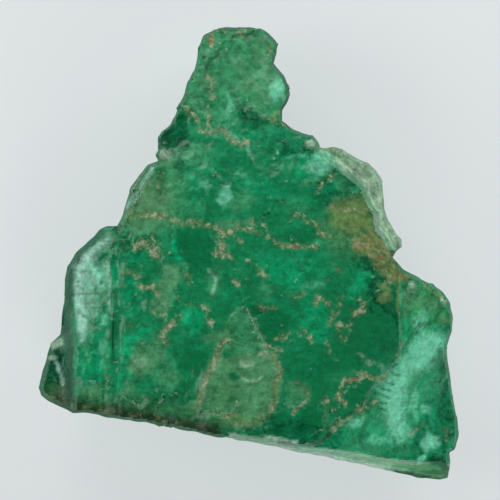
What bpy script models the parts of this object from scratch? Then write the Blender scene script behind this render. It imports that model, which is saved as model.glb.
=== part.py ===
"""Raw emerald crystal: one broken piece of green beryl, lying on its flat back.

Metres, +Z up. X runs across the piece and Y from its broad end to its narrow neck.
The origin is under the middle of its box, on the surface that it rests on.

The piece is made from its outline, in plan: a flat grid is trimmed to the outline
and extruded once, and then the front and the back are raised to their heights.
Plan coordinates and heights are in millimetres until the last step.
"""

import bpy
import bmesh
import numpy as np
from mathutils import Vector, noise

MM = 0.001
HALF = Vector((0.5, 0.5, 0.5))
NOISE_SEED = 12             # fixed, so that every build is the same

# Driving dimensions, millimetres
PLATE_HEIGHT = 4.4          # the broad front face, above the rest face
NECK_SLOPE = 0.27           # fall of the front from the middle to the neck, per mm
NECK_START = 1.2            # Y where that fall begins
LEFT_SLOPE = 0.16           # fall of the plate towards the prism column
RIGHT_SLOPE = 0.22          # fall of the plate towards its right edge
LEDGE_DROP = 0.45           # step down from the plate to the lower right facet
FACET_SLOPE_X = 0.62        # fall of that facet towards the right edge, per mm
FACET_SLOPE_Y = 0.10        # fall of that facet towards the bottom face, per mm
FRINGE_HEIGHT = 2.9         # thin sheet behind the plate at the upper right
RIM_THICKNESS = 0.22        # blunt edge all round, where front and back meet
REST_HEIGHT = 0.04          # the flat back is cut this far above the lowest chips

GRID_STEP = 0.09            # spacing of the sculpted vertices
TRIANGLE_BUDGET = 9200      # what the finished solid keeps of them

# The outline in plan, clockwise from the neck's left corner
OUTLINE = (
    (-0.88, 5.61), (-0.53, 5.66), (0.00, 5.66), (0.38, 5.61), (0.55, 5.44), (0.75, 5.24),
    (0.68, 4.94), (0.62, 4.74), (0.85, 4.44), (1.03, 4.16), (1.05, 3.96), (0.95, 3.74),
    (0.83, 3.58), (0.83, 3.31), (1.12, 3.09), (1.35, 2.99), (1.58, 2.96), (1.73, 2.79),
    (1.83, 2.64), (2.10, 2.66), (2.35, 2.61), (2.65, 2.41), (2.98, 2.29), (3.18, 2.09),
    (3.33, 1.81), (3.40, 1.14), (3.48, 0.84), (3.83, 0.34), (3.83, 0.16), (3.68, 0.06),
    (3.60, -0.09), (3.85, -0.36), (4.17, -0.56), (4.58, -0.76), (4.85, -0.96), (5.05, -1.24),
    (5.10, -1.61), (5.08, -1.94), (4.95, -2.29), (4.98, -2.71), (5.12, -3.71), (5.23, -4.16),
    (5.25, -4.54), (5.18, -4.91), (5.06, -4.96), (5.05, -5.36), (4.98, -5.61), (4.78, -5.66),
    (4.23, -5.61), (3.58, -5.46), (2.27, -5.16), (0.93, -4.91), (0.33, -4.74), (-0.85, -4.56),
    (-2.10, -4.29), (-3.48, -4.09), (-3.98, -3.99), (-4.40, -3.99), (-4.67, -3.84), (-4.98, -3.69),
    (-5.18, -3.54), (-5.25, -3.36), (-5.15, -2.94), (-4.93, -2.24), (-4.70, -2.04), (-4.65, -1.71),
    (-4.58, -0.66), (-4.53, -0.31), (-4.30, 0.01), (-3.75, 0.56), (-3.53, 0.69), (-3.30, 0.69),
    (-3.15, 0.96), (-2.93, 1.64), (-2.73, 1.96), (-2.53, 2.21), (-2.25, 2.31), (-2.33, 2.46),
    (-2.25, 2.61), (-2.27, 2.89), (-2.18, 3.06), (-1.95, 3.24), (-1.62, 3.89), (-1.53, 4.29),
    (-1.35, 4.59), (-1.28, 4.84), (-1.28, 5.14), (-1.12, 5.44),
)

# Rim: at each anchor, the height where front and back meet, and how far in
# from the edge the front has risen to the plate and the back has reached the rest face
RIM_ANCHORS = (
    # x, y, height, front run, back run
    (-0.20, 5.60, 2.30, 0.05, 0.80),    # neck end
    (0.75, 4.60, 2.60, 0.05, 0.80),     # neck, right
    (-1.40, 4.40, 2.70, 0.05, 0.90),    # neck, left
    (1.40, 3.00, 3.00, 0.05, 1.00),     # shoulder
    (3.30, 1.90, 2.30, 0.06, 1.40),     # thin sheet, upper right
    (3.75, 0.20, 2.30, 0.06, 1.40),
    (4.90, -1.20, 2.30, 0.06, 1.20),    # lower right facet
    (5.10, -3.40, 2.00, 0.05, 1.00),
    (5.10, -5.30, 1.50, 0.08, 0.80),
    (2.30, -5.20, 1.60, 0.08, 0.70),    # bottom face
    (-0.50, -4.60, 3.30, 0.07, 0.70),
    (-3.90, -4.00, 3.00, 0.07, 0.80),
    (-5.10, -3.30, 2.60, 0.12, 0.70),   # lower left corner
    (-4.55, -1.00, 3.00, 0.10, 0.80),   # prism column
    (-3.60, 0.60, 2.90, 0.10, 0.90),
    (-2.60, 2.10, 2.60, 0.05, 1.00),    # upper left sliver
    (-2.25, 2.90, 2.90, 0.05, 0.90),
)

# The back outside the rest face: a point where each plane leaves it, the way it
# rises, in plan, and its slope
BACK_PLANES = (
    ((-4.00, -1.50), (-1.00, 0.05), 1.73),      # a prism face, at 60 degrees
    ((-1.70, 2.00), (-0.85, 0.52), 0.85),
    ((1.70, 1.40), (0.80, 0.60), 0.75),
    ((0.00, 3.40), (0.10, 1.00), 0.32),
    ((3.90, -3.60), (0.90, -0.44), 0.80),
    ((3.60, -1.00), (0.97, 0.24), 0.55),
)

# The prism column on the left: its cross-section, height against X
COLUMN_SECTION = (
    # X, height across the prism column
    (-5.25, 3.00), (-4.62, 3.12), (-4.28, 3.52), (-3.88, 3.82), (-3.42, 3.99), (-3.26, 4.02),
)
COLUMN_TOP = 0.45           # Y where the column's upper end begins to fall away
COLUMN_FOOT = -2.10         # Y below which the column's crown is flatter
COLUMN_FOOT_RISE = 0.30     # how much its left edge is raised there

# Regions of the front, in plan
LOWER_RIGHT_FACET = (
    (3.78, -0.60), (3.76, -2.60), (3.55, -2.96), (3.27, -3.17), (3.00, -3.44), (2.86, -3.80),
    (2.50, -4.12), (2.20, -4.30), (1.98, -4.55), (1.70, -4.72), (1.25, -4.78), (0.77, -4.66),
    (0.60, -5.40), (6.00, -6.50), (6.20, 0.20), (4.00, -0.20),
)
BOTTOM_FACE = (
    (-0.50, -4.44), (0.78, -4.66), (1.48, -4.80), (2.35, -4.90), (2.93, -5.02), (3.35, -5.10),
    (4.00, -5.18), (4.70, -5.22), (5.02, -5.25), (6.00, -5.20), (6.00, -7.00), (-0.50, -7.00),
)
THIN_SHEET = (
    (1.75, 2.56), (2.05, 2.40), (2.35, 2.14), (2.62, 1.92), (2.90, 1.67), (3.05, 1.29),
    (3.22, 1.02), (3.25, 0.64), (3.45, 0.42), (3.62, 0.05), (4.50, -0.10), (4.50, 3.50), (1.80, 3.50),
)
UPPER_LEFT_SLIVER = (
    (-2.27, 2.28), (-2.55, 1.80), (-2.78, 1.40), (-3.02, 0.95), (-3.22, 0.55), (-4.20, 1.20), (-2.60, 2.80),
)
LOWER_LEFT_CORNER = (
    (-4.70, -1.90), (-4.58, -2.60), (-4.50, -3.20), (-4.38, -3.90), (-4.30, -4.60), (-6.00, -4.60),
    (-6.00, -1.90),
)
SQUARE_LUMP = (
    (-0.75, -2.66), (-0.20, -2.50), (0.40, -2.40), (0.62, -2.54), (0.80, -2.90), (0.85, -3.18),
    (0.66, -3.86), (0.44, -4.15), (0.14, -4.30), (-0.32, -4.38), (-0.70, -4.20), (-0.98, -3.86),
    (-1.22, -3.52), (-1.08, -3.12),
)
KITE_CHIP = (
    (-0.28, -1.30), (-0.08, -1.36), (0.18, -1.90), (0.42, -2.34), (0.30, -2.44), (-0.22, -2.56),
    (-0.66, -2.42), (-0.62, -1.80),
)
DARK_PIT = ((-0.08, -1.28), (0.55, -1.25), (1.02, -1.55), (0.95, -2.20), (0.48, -2.40), (0.18, -1.90))
SHELL_CHIP = ((0.92, -3.20), (1.40, -3.22), (1.52, -3.60), (1.22, -3.90), (0.90, -3.70))
COLUMN_GROOVE = (
    (-3.46, -0.90), (-3.20, -0.90), (-3.12, -1.70), (-3.16, -2.70), (-3.42, -2.72), (-3.40, -1.70),
)
NECK_LUMP = ((0.42, 4.36), (0.80, 4.40), (1.06, 4.05), (0.90, 3.72), (0.50, 3.76), (0.36, 4.05))
NECK_HOLLOW = ((-2.20, 3.10), (-1.90, 3.45), (-1.50, 3.40), (-1.45, 2.80), (-1.80, 2.55), (-2.25, 2.60))
RIGHT_HOLLOW = (
    (2.40, -1.30), (3.40, -1.10), (3.72, -1.60), (3.68, -2.50), (3.20, -2.85), (2.30, -2.80), (2.10, -2.00),
)

# Each raised or sunk region of the plate: outline, height change, width of its edge
PLATE_RELIEF = (
    (SQUARE_LUMP, 0.12, 0.50),
    (KITE_CHIP, 0.04, 0.40),
    (DARK_PIT, -0.06, 0.60),
    (SHELL_CHIP, -0.06, 0.20),
    (COLUMN_GROOVE, -0.16, 0.08),
    (NECK_LUMP, 0.16, 0.60),
    (NECK_HOLLOW, -0.12, 0.70),
    (RIGHT_HOLLOW, -0.12, 0.90),
)

# Small glassy beads on the edges: centre, radius and how far they stand out
BEADS = (
    ((1.55, 2.78), 0.24, 0.22),
    ((-2.18, 2.48), 0.17, 0.15),
    ((4.05, -0.84), 0.16, 0.12),
    ((4.88, -1.19), 0.15, 0.12),
)

# Noise: chips are flat facets from a cell pattern, ripples are smooth
CHIP_SIZE = 1.15
CHIP_TILT = 0.10
SIDE_CHIP_SIZE = 0.9
SIDE_CHIP_DEPTH = 0.16      # how deep the chips bite into the sides
RIPPLE_SIZE = 0.55
RIPPLE_HEIGHT = 0.030
EDGE_WANDER = 0.03          # how far the trimmed edge strays from the outline


def plan(bm_verts):
    """The X and Y of some vertices, as one array."""
    return np.array([vert.co.xy for vert in bm_verts])


def signed_distance(points, outline):
    """Distance of each point to a closed outline, positive inside it."""
    nearest = np.full(len(points), np.inf)
    inside = np.zeros(len(points), dtype=bool)
    corners = np.array(outline)
    for start, end in zip(corners, np.roll(corners, -1, axis=0)):
        edge = end - start
        offset = points - start
        along = np.clip(offset @ edge / (edge @ edge), 0.0, 1.0)
        nearest = np.minimum(nearest, np.linalg.norm(offset - along[:, None] * edge, axis=1))
        if start[1] != end[1]:
            spans = (start[1] > points[:, 1]) != (end[1] > points[:, 1])
            crossing = start[0] + (points[:, 1] - start[1]) * edge[0] / edge[1]
            inside ^= spans & (points[:, 0] < crossing)
    return np.where(inside, nearest, -nearest)


def nearest_on_outline(point, outline):
    """The point of a closed outline nearest to one point in plan."""
    best = None
    corners = [Vector(corner) for corner in outline]
    for start, end in zip(corners, corners[1:] + corners[:1]):
        edge = end - start
        along = min(max((point - start).dot(edge) / edge.length_squared, 0.0), 1.0)
        foot = start + along * edge
        if best is None or (foot - point).length < (best - point).length:
            best = foot
    return best


def ramp(values, width):
    """0 at or below minus half the width, 1 above half of it, smooth between."""
    share = np.clip(values / width + 0.5, 0.0, 1.0)
    return share * share * (3.0 - 2.0 * share)


def ripple(points, size, seed):
    """Smooth noise between -1 and 1 at each point in plan."""
    return np.array([noise.fractal(Vector((x / size, y / size, seed)), 0.6, 2.0, 4) for x, y in points])


def chips(points, size, seed):
    """Scooped facets: shallow bowls, each tilted its own way, that meet in low ridges."""
    heights = []
    for x, y in points:
        here = Vector((x / size, y / size, seed))
        bowls = []
        for site in noise.voronoi(here)[1]:
            away = here - site
            tilt = noise.cell_vector(site * 7.0) - HALF
            bowls.append(2.0 * tilt.dot(away) + 0.7 * away.length_squared)
        heights.append(min(bowls))
    return np.array(heights)


def rim_values(points):
    """Edge height, front run and back run at each point, blended between the anchors."""
    total = np.zeros(len(points))
    blend = np.zeros((len(points), 3))
    for x, y, *values in RIM_ANCHORS:
        weight = 1.0 / (((points - (x, y)) ** 2).sum(axis=1) + 0.05) ** 2
        total += weight
        blend += weight[:, None] * np.array(values)
    return (blend / total[:, None]).T


def plate_height(points):
    """The broad front face: a few near-flat planes with low lumps, chips and pits."""
    x, y = points.T
    middle = PLATE_HEIGHT - 0.02 * x - 0.04 * (y + 1.5)
    towards_neck = PLATE_HEIGHT - NECK_SLOPE * (y - NECK_START)
    towards_column = PLATE_HEIGHT + LEFT_SLOPE * (x + 1.6)
    towards_right = PLATE_HEIGHT - RIGHT_SLOPE * (x - 1.9)
    height = np.minimum(np.minimum(middle, towards_neck), np.minimum(towards_column, towards_right))
    for outline, rise, width in PLATE_RELIEF:
        height = height + rise * ramp(signed_distance(points, outline), width)
    return height


def front_height(points):
    """Height of the front over each point in plan, before its edge falls to the rim."""
    x, y = points.T
    height = plate_height(points)

    section_x, section_z = zip(*COLUMN_SECTION)
    column = np.interp(x, section_x, section_z) - 0.55 * np.clip(y - COLUMN_TOP + 0.5 * (x + 4.4), 0.0, 9.0)
    column = column + COLUMN_FOOT_RISE * ramp(COLUMN_FOOT - y, 0.8) * np.clip((-3.75 - x) / 0.53, 0.0, 1.0)
    height = np.where((x < COLUMN_SECTION[-1][0]) & (y < 1.0), np.minimum(height, column), height)

    sliver = ramp(signed_distance(points, UPPER_LEFT_SLIVER), 0.05)
    height = height - 0.75 * sliver

    corner = ramp(signed_distance(points, LOWER_LEFT_CORNER), 0.20)
    height = height - 0.16 * corner

    facet = PLATE_HEIGHT - LEDGE_DROP - FACET_SLOPE_X * (x - 3.0) + FACET_SLOPE_Y * (y + 3.0)
    facet = facet - 0.30 * ramp(x - y - 7.6, 1.6)
    step = ramp(signed_distance(points, LOWER_RIGHT_FACET), 0.09)
    height = height + (np.minimum(facet, height - 0.12) - height) * step

    sheet_height = FRINGE_HEIGHT - 0.30 * np.clip(x - 2.6, 0.0, 9.0)
    sheet = ramp(signed_distance(points, THIN_SHEET), 0.24)
    height = height + (np.minimum(sheet_height, height) - height) * sheet

    below = np.clip(signed_distance(points, BOTTOM_FACE), 0.0, 9.0)
    height = height - 4.2 * np.minimum(below, 0.60) * ramp(below, 0.04)

    height = height + CHIP_TILT * chips(points, CHIP_SIZE, 3.0)
    height = height + RIPPLE_HEIGHT * ripple(points, RIPPLE_SIZE, 8.0)
    for centre, radius, rise in BEADS:
        reach = 1.0 - ((points - centre) ** 2).sum(axis=1) / radius ** 2
        height = height + rise * np.sqrt(np.clip(reach, 0.0, 1.0))
    return height


def rounded_rise(distance, run):
    """0 at the edge and 1 at the end of the run, steep first and then easing."""
    share = np.clip(distance / run, 0.0, 1.0)
    return 1.0 - (1.0 - share) ** 1.7


def trimmed_grid():
    """A flat grid cut to the outline, its border vertices moved onto it."""
    bm = bmesh.new()
    reach = max(abs(value) for corner in OUTLINE for value in corner) + GRID_STEP
    segments = round(2.0 * reach / GRID_STEP)
    bmesh.ops.create_grid(bm, x_segments=segments, y_segments=segments, size=reach)
    centres = np.array([face.calc_center_median().xy for face in bm.faces])
    keep = signed_distance(centres, OUTLINE) > 0.0
    outside = [face for face, kept in zip(bm.faces, keep) if not kept]
    bmesh.ops.delete(bm, geom=outside, context="FACES")
    for vert in bm.verts:
        if vert.is_boundary:
            foot = nearest_on_outline(vert.co.xy, OUTLINE)
            wander = noise.noise_vector(Vector((foot.x, foot.y, 0.0)) * 3.1) * EDGE_WANDER
            vert.co = (foot.x + wander.x, foot.y + wander.y, 0.0)
    inner = [vert for vert in bm.verts if not vert.is_boundary]
    bmesh.ops.smooth_vert(bm, verts=inner, factor=0.4, use_axis_x=True, use_axis_y=True)
    bmesh.ops.remove_doubles(bm, verts=bm.verts, dist=0.2 * GRID_STEP)
    return bm


def back_height(points, inset, rim, run):
    """The back: flat in the middle, rising over a few planes and the rim's slope."""
    chipped = inset + 0.30 * chips(points, SIDE_CHIP_SIZE, 17.0) * np.clip(inset / 0.4, 0.0, 1.0)
    height = rim * (1.0 - rounded_rise(np.clip(chipped, 0.0, None), run))
    for start, way, slope in BACK_PLANES:
        away = (points - start) @ np.array(Vector(way).normalized())
        height = np.maximum(height, np.minimum(slope * away, rim))
    return height


def sculpt(bm):
    """Extrude the grid once and raise the front and the back to their heights."""
    back = list(bm.verts)
    extruded = bmesh.ops.extrude_face_region(bm, geom=bm.faces[:])
    front = [item for item in extruded["geom"] if isinstance(item, bmesh.types.BMVert)]
    for side, verts in (("back", back), ("front", front)):
        points = plan(verts)
        inset = np.clip(signed_distance(points, OUTLINE), 0.0, None)
        rim, front_run, back_run = rim_values(points)
        low = back_height(points, inset, rim - 0.5 * RIM_THICKNESS, back_run)
        if side == "front":
            edge = rim + 0.5 * RIM_THICKNESS
            full = np.maximum(front_height(points), edge)
            full = edge + (full - edge) * rounded_rise(inset, front_run)
            low = np.maximum(full, low + RIM_THICKNESS)
        for vert, height in zip(verts, low):
            vert.co.z = height


def chip_sides(bm):
    """Divide the stretched side faces and bite shallow chips out of them."""
    for _ in range(2):
        stretched = [edge for edge in bm.edges if edge.calc_length() > 2.2 * GRID_STEP]
        bmesh.ops.subdivide_edges(bm, edges=stretched, cuts=1, use_grid_fill=True)
    bm.normal_update()
    rims = rim_values(plan(bm.verts))[0]
    moves = []
    for vert, rim in zip(bm.verts, rims):
        steep = 1.0 - min(abs(vert.normal.z) * 1.6, 1.0)
        from_rim = min(abs(vert.co.z - rim) / 0.5, 1.0)
        from_floor = min(vert.co.z / 0.8, 1.0)
        here = vert.co / SIDE_CHIP_SIZE
        site = noise.voronoi(here)[1][0]
        bite = noise.cell_vector(site * 5.0).dot(here - site) + 0.4
        moves.append(-vert.normal * steep * from_rim * from_floor * bite * SIDE_CHIP_DEPTH)
    for vert, move in zip(bm.verts, moves):
        vert.co += move


def decimated(mesh):
    """The same surface with its flat stretches reduced to fewer triangles."""
    guide = bpy.data.objects.new("sculpt", mesh)
    bpy.context.scene.collection.objects.link(guide)
    modifier = guide.modifiers.new("fewer triangles", "DECIMATE")
    modifier.ratio = TRIANGLE_BUDGET / sum(len(face.vertices) - 2 for face in mesh.polygons)
    graph = bpy.context.evaluated_depsgraph_get()
    result = bpy.data.meshes.new_from_object(guide.evaluated_get(graph))
    bpy.data.objects.remove(guide)
    return result


def put_in_order(bm):
    """Sort the vertices and the faces by their place, so that every build lists them alike."""
    way = Vector((1.0, 7.31, 53.7))
    bm.verts.sort(key=lambda vert: vert.co.dot(way))
    bm.faces.sort(key=lambda face: face.calc_center_median().dot(way))


def crystal_mesh():
    """The whole piece: sculpted, reduced, cut flat behind, centred and in metres."""
    bm = trimmed_grid()
    sculpt(bm)
    bmesh.ops.recalc_face_normals(bm, faces=bm.faces)
    chip_sides(bm)
    mesh = bpy.data.meshes.new("sculpt")
    bm.to_mesh(mesh)
    bm.free()

    mesh = decimated(mesh)
    bm = bmesh.new()
    bm.from_mesh(mesh)
    everything = bm.verts[:] + bm.edges[:] + bm.faces[:]
    cut = bmesh.ops.bisect_plane(
        bm, geom=everything, plane_co=(0.0, 0.0, REST_HEIGHT), plane_no=(0.0, 0.0, 1.0), clear_inner=True)
    rest_edges = [item for item in cut["geom_cut"] if isinstance(item, bmesh.types.BMEdge)]
    bmesh.ops.triangle_fill(bm, edges=rest_edges, use_beauty=True, normal=(0.0, 0.0, -1.0))
    bmesh.ops.recalc_face_normals(bm, faces=bm.faces)
    corners = np.array([vert.co for vert in bm.verts])
    low, high = corners.min(axis=0), corners.max(axis=0)
    middle = Vector((0.5 * (low[0] + high[0]), 0.5 * (low[1] + high[1]), low[2]))
    bmesh.ops.translate(bm, vec=-middle, verts=bm.verts)
    bmesh.ops.scale(bm, vec=(MM, MM, MM), verts=bm.verts)
    bmesh.ops.triangulate(bm, faces=bm.faces, quad_method="SHORT_EDGE")
    put_in_order(bm)
    bm.to_mesh(mesh)
    bm.free()
    mesh.name = "emerald"
    return mesh


def emerald_material():
    material = bpy.data.materials.new("emerald green")
    material.use_nodes = True
    shader = material.node_tree.nodes["Principled BSDF"]
    shader.inputs["Base Color"].default_value = (0.01, 0.22, 0.09, 1.0)
    shader.inputs["Roughness"].default_value = 0.25
    shader.inputs["Metallic"].default_value = 0.0
    return material


noise.seed_set(NOISE_SEED)

for leftover in list(bpy.data.objects):
    bpy.data.objects.remove(leftover)

collection = bpy.data.collections.new("raw emerald")
bpy.context.scene.collection.children.link(collection)
crystal = bpy.data.objects.new("emerald", crystal_mesh())
crystal.data.materials.append(emerald_material())
collection.objects.link(crystal)
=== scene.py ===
"""Raw emerald crystal on a pale floor, seen from above, as it lies on its flat back.

The crystal is sculpted like its solid, from the same outline and planes, but finer.
Its tones, clouds, veins and stains are worked out at each vertex from short lists of
named places, and its material adds what is finer than that.
Plan coordinates and heights are in millimetres until the mesh is fitted to the frame.
"""

import bmesh
import bpy
import numpy as np
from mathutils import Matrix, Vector, noise


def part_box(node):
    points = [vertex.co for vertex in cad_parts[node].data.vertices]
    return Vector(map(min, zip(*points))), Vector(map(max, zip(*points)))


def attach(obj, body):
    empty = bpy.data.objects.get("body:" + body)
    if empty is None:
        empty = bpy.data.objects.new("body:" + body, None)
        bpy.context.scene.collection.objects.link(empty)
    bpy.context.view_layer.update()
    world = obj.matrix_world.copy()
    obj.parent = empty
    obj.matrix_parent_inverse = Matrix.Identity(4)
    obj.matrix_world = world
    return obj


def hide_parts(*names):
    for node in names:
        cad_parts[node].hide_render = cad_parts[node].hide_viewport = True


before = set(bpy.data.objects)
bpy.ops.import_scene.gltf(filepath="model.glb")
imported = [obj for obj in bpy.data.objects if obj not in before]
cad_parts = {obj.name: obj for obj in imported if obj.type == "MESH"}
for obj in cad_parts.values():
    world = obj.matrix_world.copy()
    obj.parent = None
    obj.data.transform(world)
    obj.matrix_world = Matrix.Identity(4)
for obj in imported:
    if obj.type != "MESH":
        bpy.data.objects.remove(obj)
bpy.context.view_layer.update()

MM = 0.001
HALF = Vector((0.5, 0.5, 0.5))
NOISE_SEED = 12              # fixed, so that every run is the same, and the same as the solid's

# The sculpted form, millimetres. These repeat the solid's own dimensions.
PLATE_HEIGHT = 4.4           # the broad front face, above the rest face
PLATE_TILT = (0.02, 0.04)    # how it falls to the right and to the neck, per mm
PLATE_TILT_START = -1.5      # Y where that tilt is level
NECK_SLOPE = 0.27            # fall of the front towards the neck, per mm
NECK_START = 1.2             # Y where that fall begins
LEFT_SLOPE = 0.16            # fall of the plate towards the prism column
LEFT_START = -1.6            # X where that fall begins
RIGHT_SLOPE = 0.22           # fall of the plate towards its right edge
RIGHT_START = 1.9            # X where that fall begins
LEDGE_DROP = 0.45            # step down from the plate to the lower right facet
LEDGE_GAP = 0.12             # the least that the facet lies below the plate
FACET_MIDDLE = (3.0, -3.0)   # where that facet's height is taken
FACET_SLOPE_X = 0.62
FACET_SLOPE_Y = 0.10
FACET_TIP_DROP = 0.30        # how much lower its lower right tip is
FACET_TIP_START = 7.6        # X minus Y, in the middle of that change
FRINGE_HEIGHT = 2.9          # thin sheet behind the plate at the upper right
FRINGE_SLOPE = 0.30
FRINGE_START = 2.6           # X where its fall begins
SLIVER_DROP = 0.75           # step down to the upper left sliver
CORNER_DROP = 0.16           # step down to the lower left corner
BOTTOM_SLOPE = 4.2           # the steep bottom face: fall per mm, and how far it runs
BOTTOM_RUN = 0.60
RIM_THICKNESS = 0.22         # blunt edge all round, where front and back meet
REST_HEIGHT = 0.04           # the flat back is cut this far above the lowest chips
GRID_STEP = 0.042            # spacing of the sculpted vertices

OUTLINE = (
    (-0.88, 5.61), (-0.53, 5.66), (0.0, 5.66), (0.38, 5.61), (0.55, 5.44), (0.75, 5.24), (0.68, 4.94),
    (0.62, 4.74), (0.85, 4.44), (1.03, 4.16), (1.05, 3.96), (0.95, 3.74), (0.83, 3.58), (0.83, 3.31),
    (1.12, 3.09), (1.35, 2.99), (1.58, 2.96), (1.73, 2.79), (1.83, 2.64), (2.1, 2.66), (2.35, 2.61),
    (2.65, 2.41), (2.98, 2.29), (3.18, 2.09), (3.33, 1.81), (3.4, 1.14), (3.48, 0.84), (3.83, 0.34),
    (3.83, 0.16), (3.68, 0.06), (3.6, -0.09), (3.85, -0.36), (4.17, -0.56), (4.58, -0.76), (4.85, -0.96),
    (5.05, -1.24), (5.1, -1.61), (5.08, -1.94), (4.95, -2.29), (4.98, -2.71), (5.12, -3.71),
    (5.23, -4.16), (5.25, -4.54), (5.18, -4.91), (5.06, -4.96), (5.05, -5.36), (4.98, -5.61),
    (4.78, -5.66), (4.23, -5.61), (3.58, -5.46), (2.27, -5.16), (0.93, -4.91), (0.33, -4.74),
    (-0.85, -4.56), (-2.1, -4.29), (-3.48, -4.09), (-3.98, -3.99), (-4.4, -3.99), (-4.67, -3.84),
    (-4.98, -3.69), (-5.18, -3.54), (-5.25, -3.36), (-5.15, -2.94), (-4.93, -2.24), (-4.7, -2.04),
    (-4.65, -1.71), (-4.58, -0.66), (-4.53, -0.31), (-4.3, 0.01), (-3.75, 0.56), (-3.53, 0.69),
    (-3.3, 0.69), (-3.15, 0.96), (-2.93, 1.64), (-2.73, 1.96), (-2.53, 2.21), (-2.25, 2.31),
    (-2.33, 2.46), (-2.25, 2.61), (-2.27, 2.89), (-2.18, 3.06), (-1.95, 3.24), (-1.62, 3.89),
    (-1.53, 4.29), (-1.35, 4.59), (-1.28, 4.84), (-1.28, 5.14), (-1.12, 5.44),
)

RIM_ANCHORS = (
    # x, y, height where front and back meet, front run, back run
    (-0.20, 5.60, 2.30, 0.05, 0.80),
    (0.75, 4.60, 2.60, 0.05, 0.80),
    (-1.40, 4.40, 2.70, 0.05, 0.90),
    (1.40, 3.00, 3.00, 0.05, 1.00),
    (3.30, 1.90, 2.30, 0.06, 1.40),
    (3.75, 0.20, 2.30, 0.06, 1.40),
    (4.90, -1.20, 2.30, 0.06, 1.20),
    (5.10, -3.40, 2.00, 0.05, 1.00),
    (5.10, -5.30, 1.50, 0.08, 0.80),
    (2.30, -5.20, 1.60, 0.08, 0.70),
    (-0.50, -4.60, 3.30, 0.07, 0.70),
    (-3.90, -4.00, 3.00, 0.07, 0.80),
    (-5.10, -3.30, 2.60, 0.12, 0.70),
    (-4.55, -1.00, 3.00, 0.10, 0.80),
    (-3.60, 0.60, 2.90, 0.10, 0.90),
    (-2.60, 2.10, 2.60, 0.05, 1.00),
    (-2.25, 2.90, 2.90, 0.05, 0.90),
)

BACK_PLANES = (
    ((-4.00, -1.50), (-1.00, 0.05), 1.73),
    ((-1.70, 2.00), (-0.85, 0.52), 0.85),
    ((1.70, 1.40), (0.80, 0.60), 0.75),
    ((0.00, 3.40), (0.10, 1.00), 0.32),
    ((3.90, -3.60), (0.90, -0.44), 0.80),
    ((3.60, -1.00), (0.97, 0.24), 0.55),
)

COLUMN_SECTION = (
    (-5.25, 3.00), (-4.62, 3.12), (-4.28, 3.52), (-3.88, 3.82), (-3.42, 3.99), (-3.26, 4.02),
)
COLUMN_TOP = 0.45
COLUMN_FOOT = -2.10          # below here the column's crown is flatter
COLUMN_FOOT_RISE = 0.30
COLUMN_FOOT_EDGE = -3.75      # X where that starts, and how wide it is
COLUMN_FOOT_WIDTH = 0.53
COLUMN_END_SLOPE = 0.55       # fall of the column's upper end, per mm
COLUMN_END_SKEW = 0.5         # how that end slants in plan, about this X
COLUMN_END_X = -4.4
COLUMN_LIMIT = 1.0            # Y above which there is no column

LOWER_RIGHT_FACET = (
    (3.78, -0.6), (3.76, -2.6), (3.55, -2.96), (3.27, -3.17), (3.0, -3.44), (2.86, -3.8), (2.5, -4.12),
    (2.2, -4.3), (1.98, -4.55), (1.7, -4.72), (1.25, -4.78), (0.77, -4.66), (0.6, -5.4), (6.0, -6.5),
    (6.2, 0.2), (4.0, -0.2),
)
BOTTOM_FACE = (
    (-0.5, -4.44), (0.78, -4.66), (1.48, -4.8), (2.35, -4.9), (2.93, -5.02), (3.35, -5.1), (4.0, -5.18),
    (4.7, -5.22), (5.02, -5.25), (6.0, -5.2), (6.0, -7.0), (-0.5, -7.0),
)
THIN_SHEET = (
    (1.75, 2.56), (2.05, 2.4), (2.35, 2.14), (2.62, 1.92), (2.9, 1.67), (3.05, 1.29), (3.22, 1.02),
    (3.25, 0.64), (3.45, 0.42), (3.62, 0.05), (4.5, -0.1), (4.5, 3.5), (1.8, 3.5),
)
UPPER_LEFT_SLIVER = (
    (-2.27, 2.28), (-2.55, 1.8), (-2.78, 1.4), (-3.02, 0.95), (-3.22, 0.55), (-4.2, 1.2), (-2.6, 2.8),
)
LOWER_LEFT_CORNER = (
    (-4.7, -1.9), (-4.58, -2.6), (-4.5, -3.2), (-4.38, -3.9), (-4.3, -4.6), (-6.0, -4.6), (-6.0, -1.9),
)
SQUARE_LUMP = (
    (-0.75, -2.66), (-0.2, -2.5), (0.4, -2.4), (0.62, -2.54), (0.8, -2.9), (0.85, -3.18), (0.66, -3.86),
    (0.44, -4.15), (0.14, -4.3), (-0.32, -4.38), (-0.7, -4.2), (-0.98, -3.86), (-1.22, -3.52),
    (-1.08, -3.12),
)
KITE_CHIP = (
    (-0.28, -1.3), (-0.08, -1.36), (0.18, -1.9), (0.42, -2.34), (0.3, -2.44), (-0.22, -2.56),
    (-0.66, -2.42), (-0.62, -1.8),
)
DARK_PIT = ((-0.08, -1.28), (0.55, -1.25), (1.02, -1.55), (0.95, -2.2), (0.48, -2.4), (0.18, -1.9))
SHELL_CHIP = ((0.92, -3.2), (1.4, -3.22), (1.52, -3.6), (1.22, -3.9), (0.9, -3.7))
COLUMN_GROOVE = ((-3.46, -0.9), (-3.2, -0.9), (-3.12, -1.7), (-3.16, -2.7), (-3.42, -2.72), (-3.4, -1.7))
NECK_LUMP = ((0.42, 4.36), (0.8, 4.4), (1.06, 4.05), (0.9, 3.72), (0.5, 3.76), (0.36, 4.05))
NECK_HOLLOW = ((-2.2, 3.1), (-1.9, 3.45), (-1.5, 3.4), (-1.45, 2.8), (-1.8, 2.55), (-2.25, 2.6))
RIGHT_HOLLOW = (
    (2.4, -1.3), (3.4, -1.1), (3.72, -1.6), (3.68, -2.5), (3.2, -2.85), (2.3, -2.8), (2.1, -2.0),
)

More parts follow.
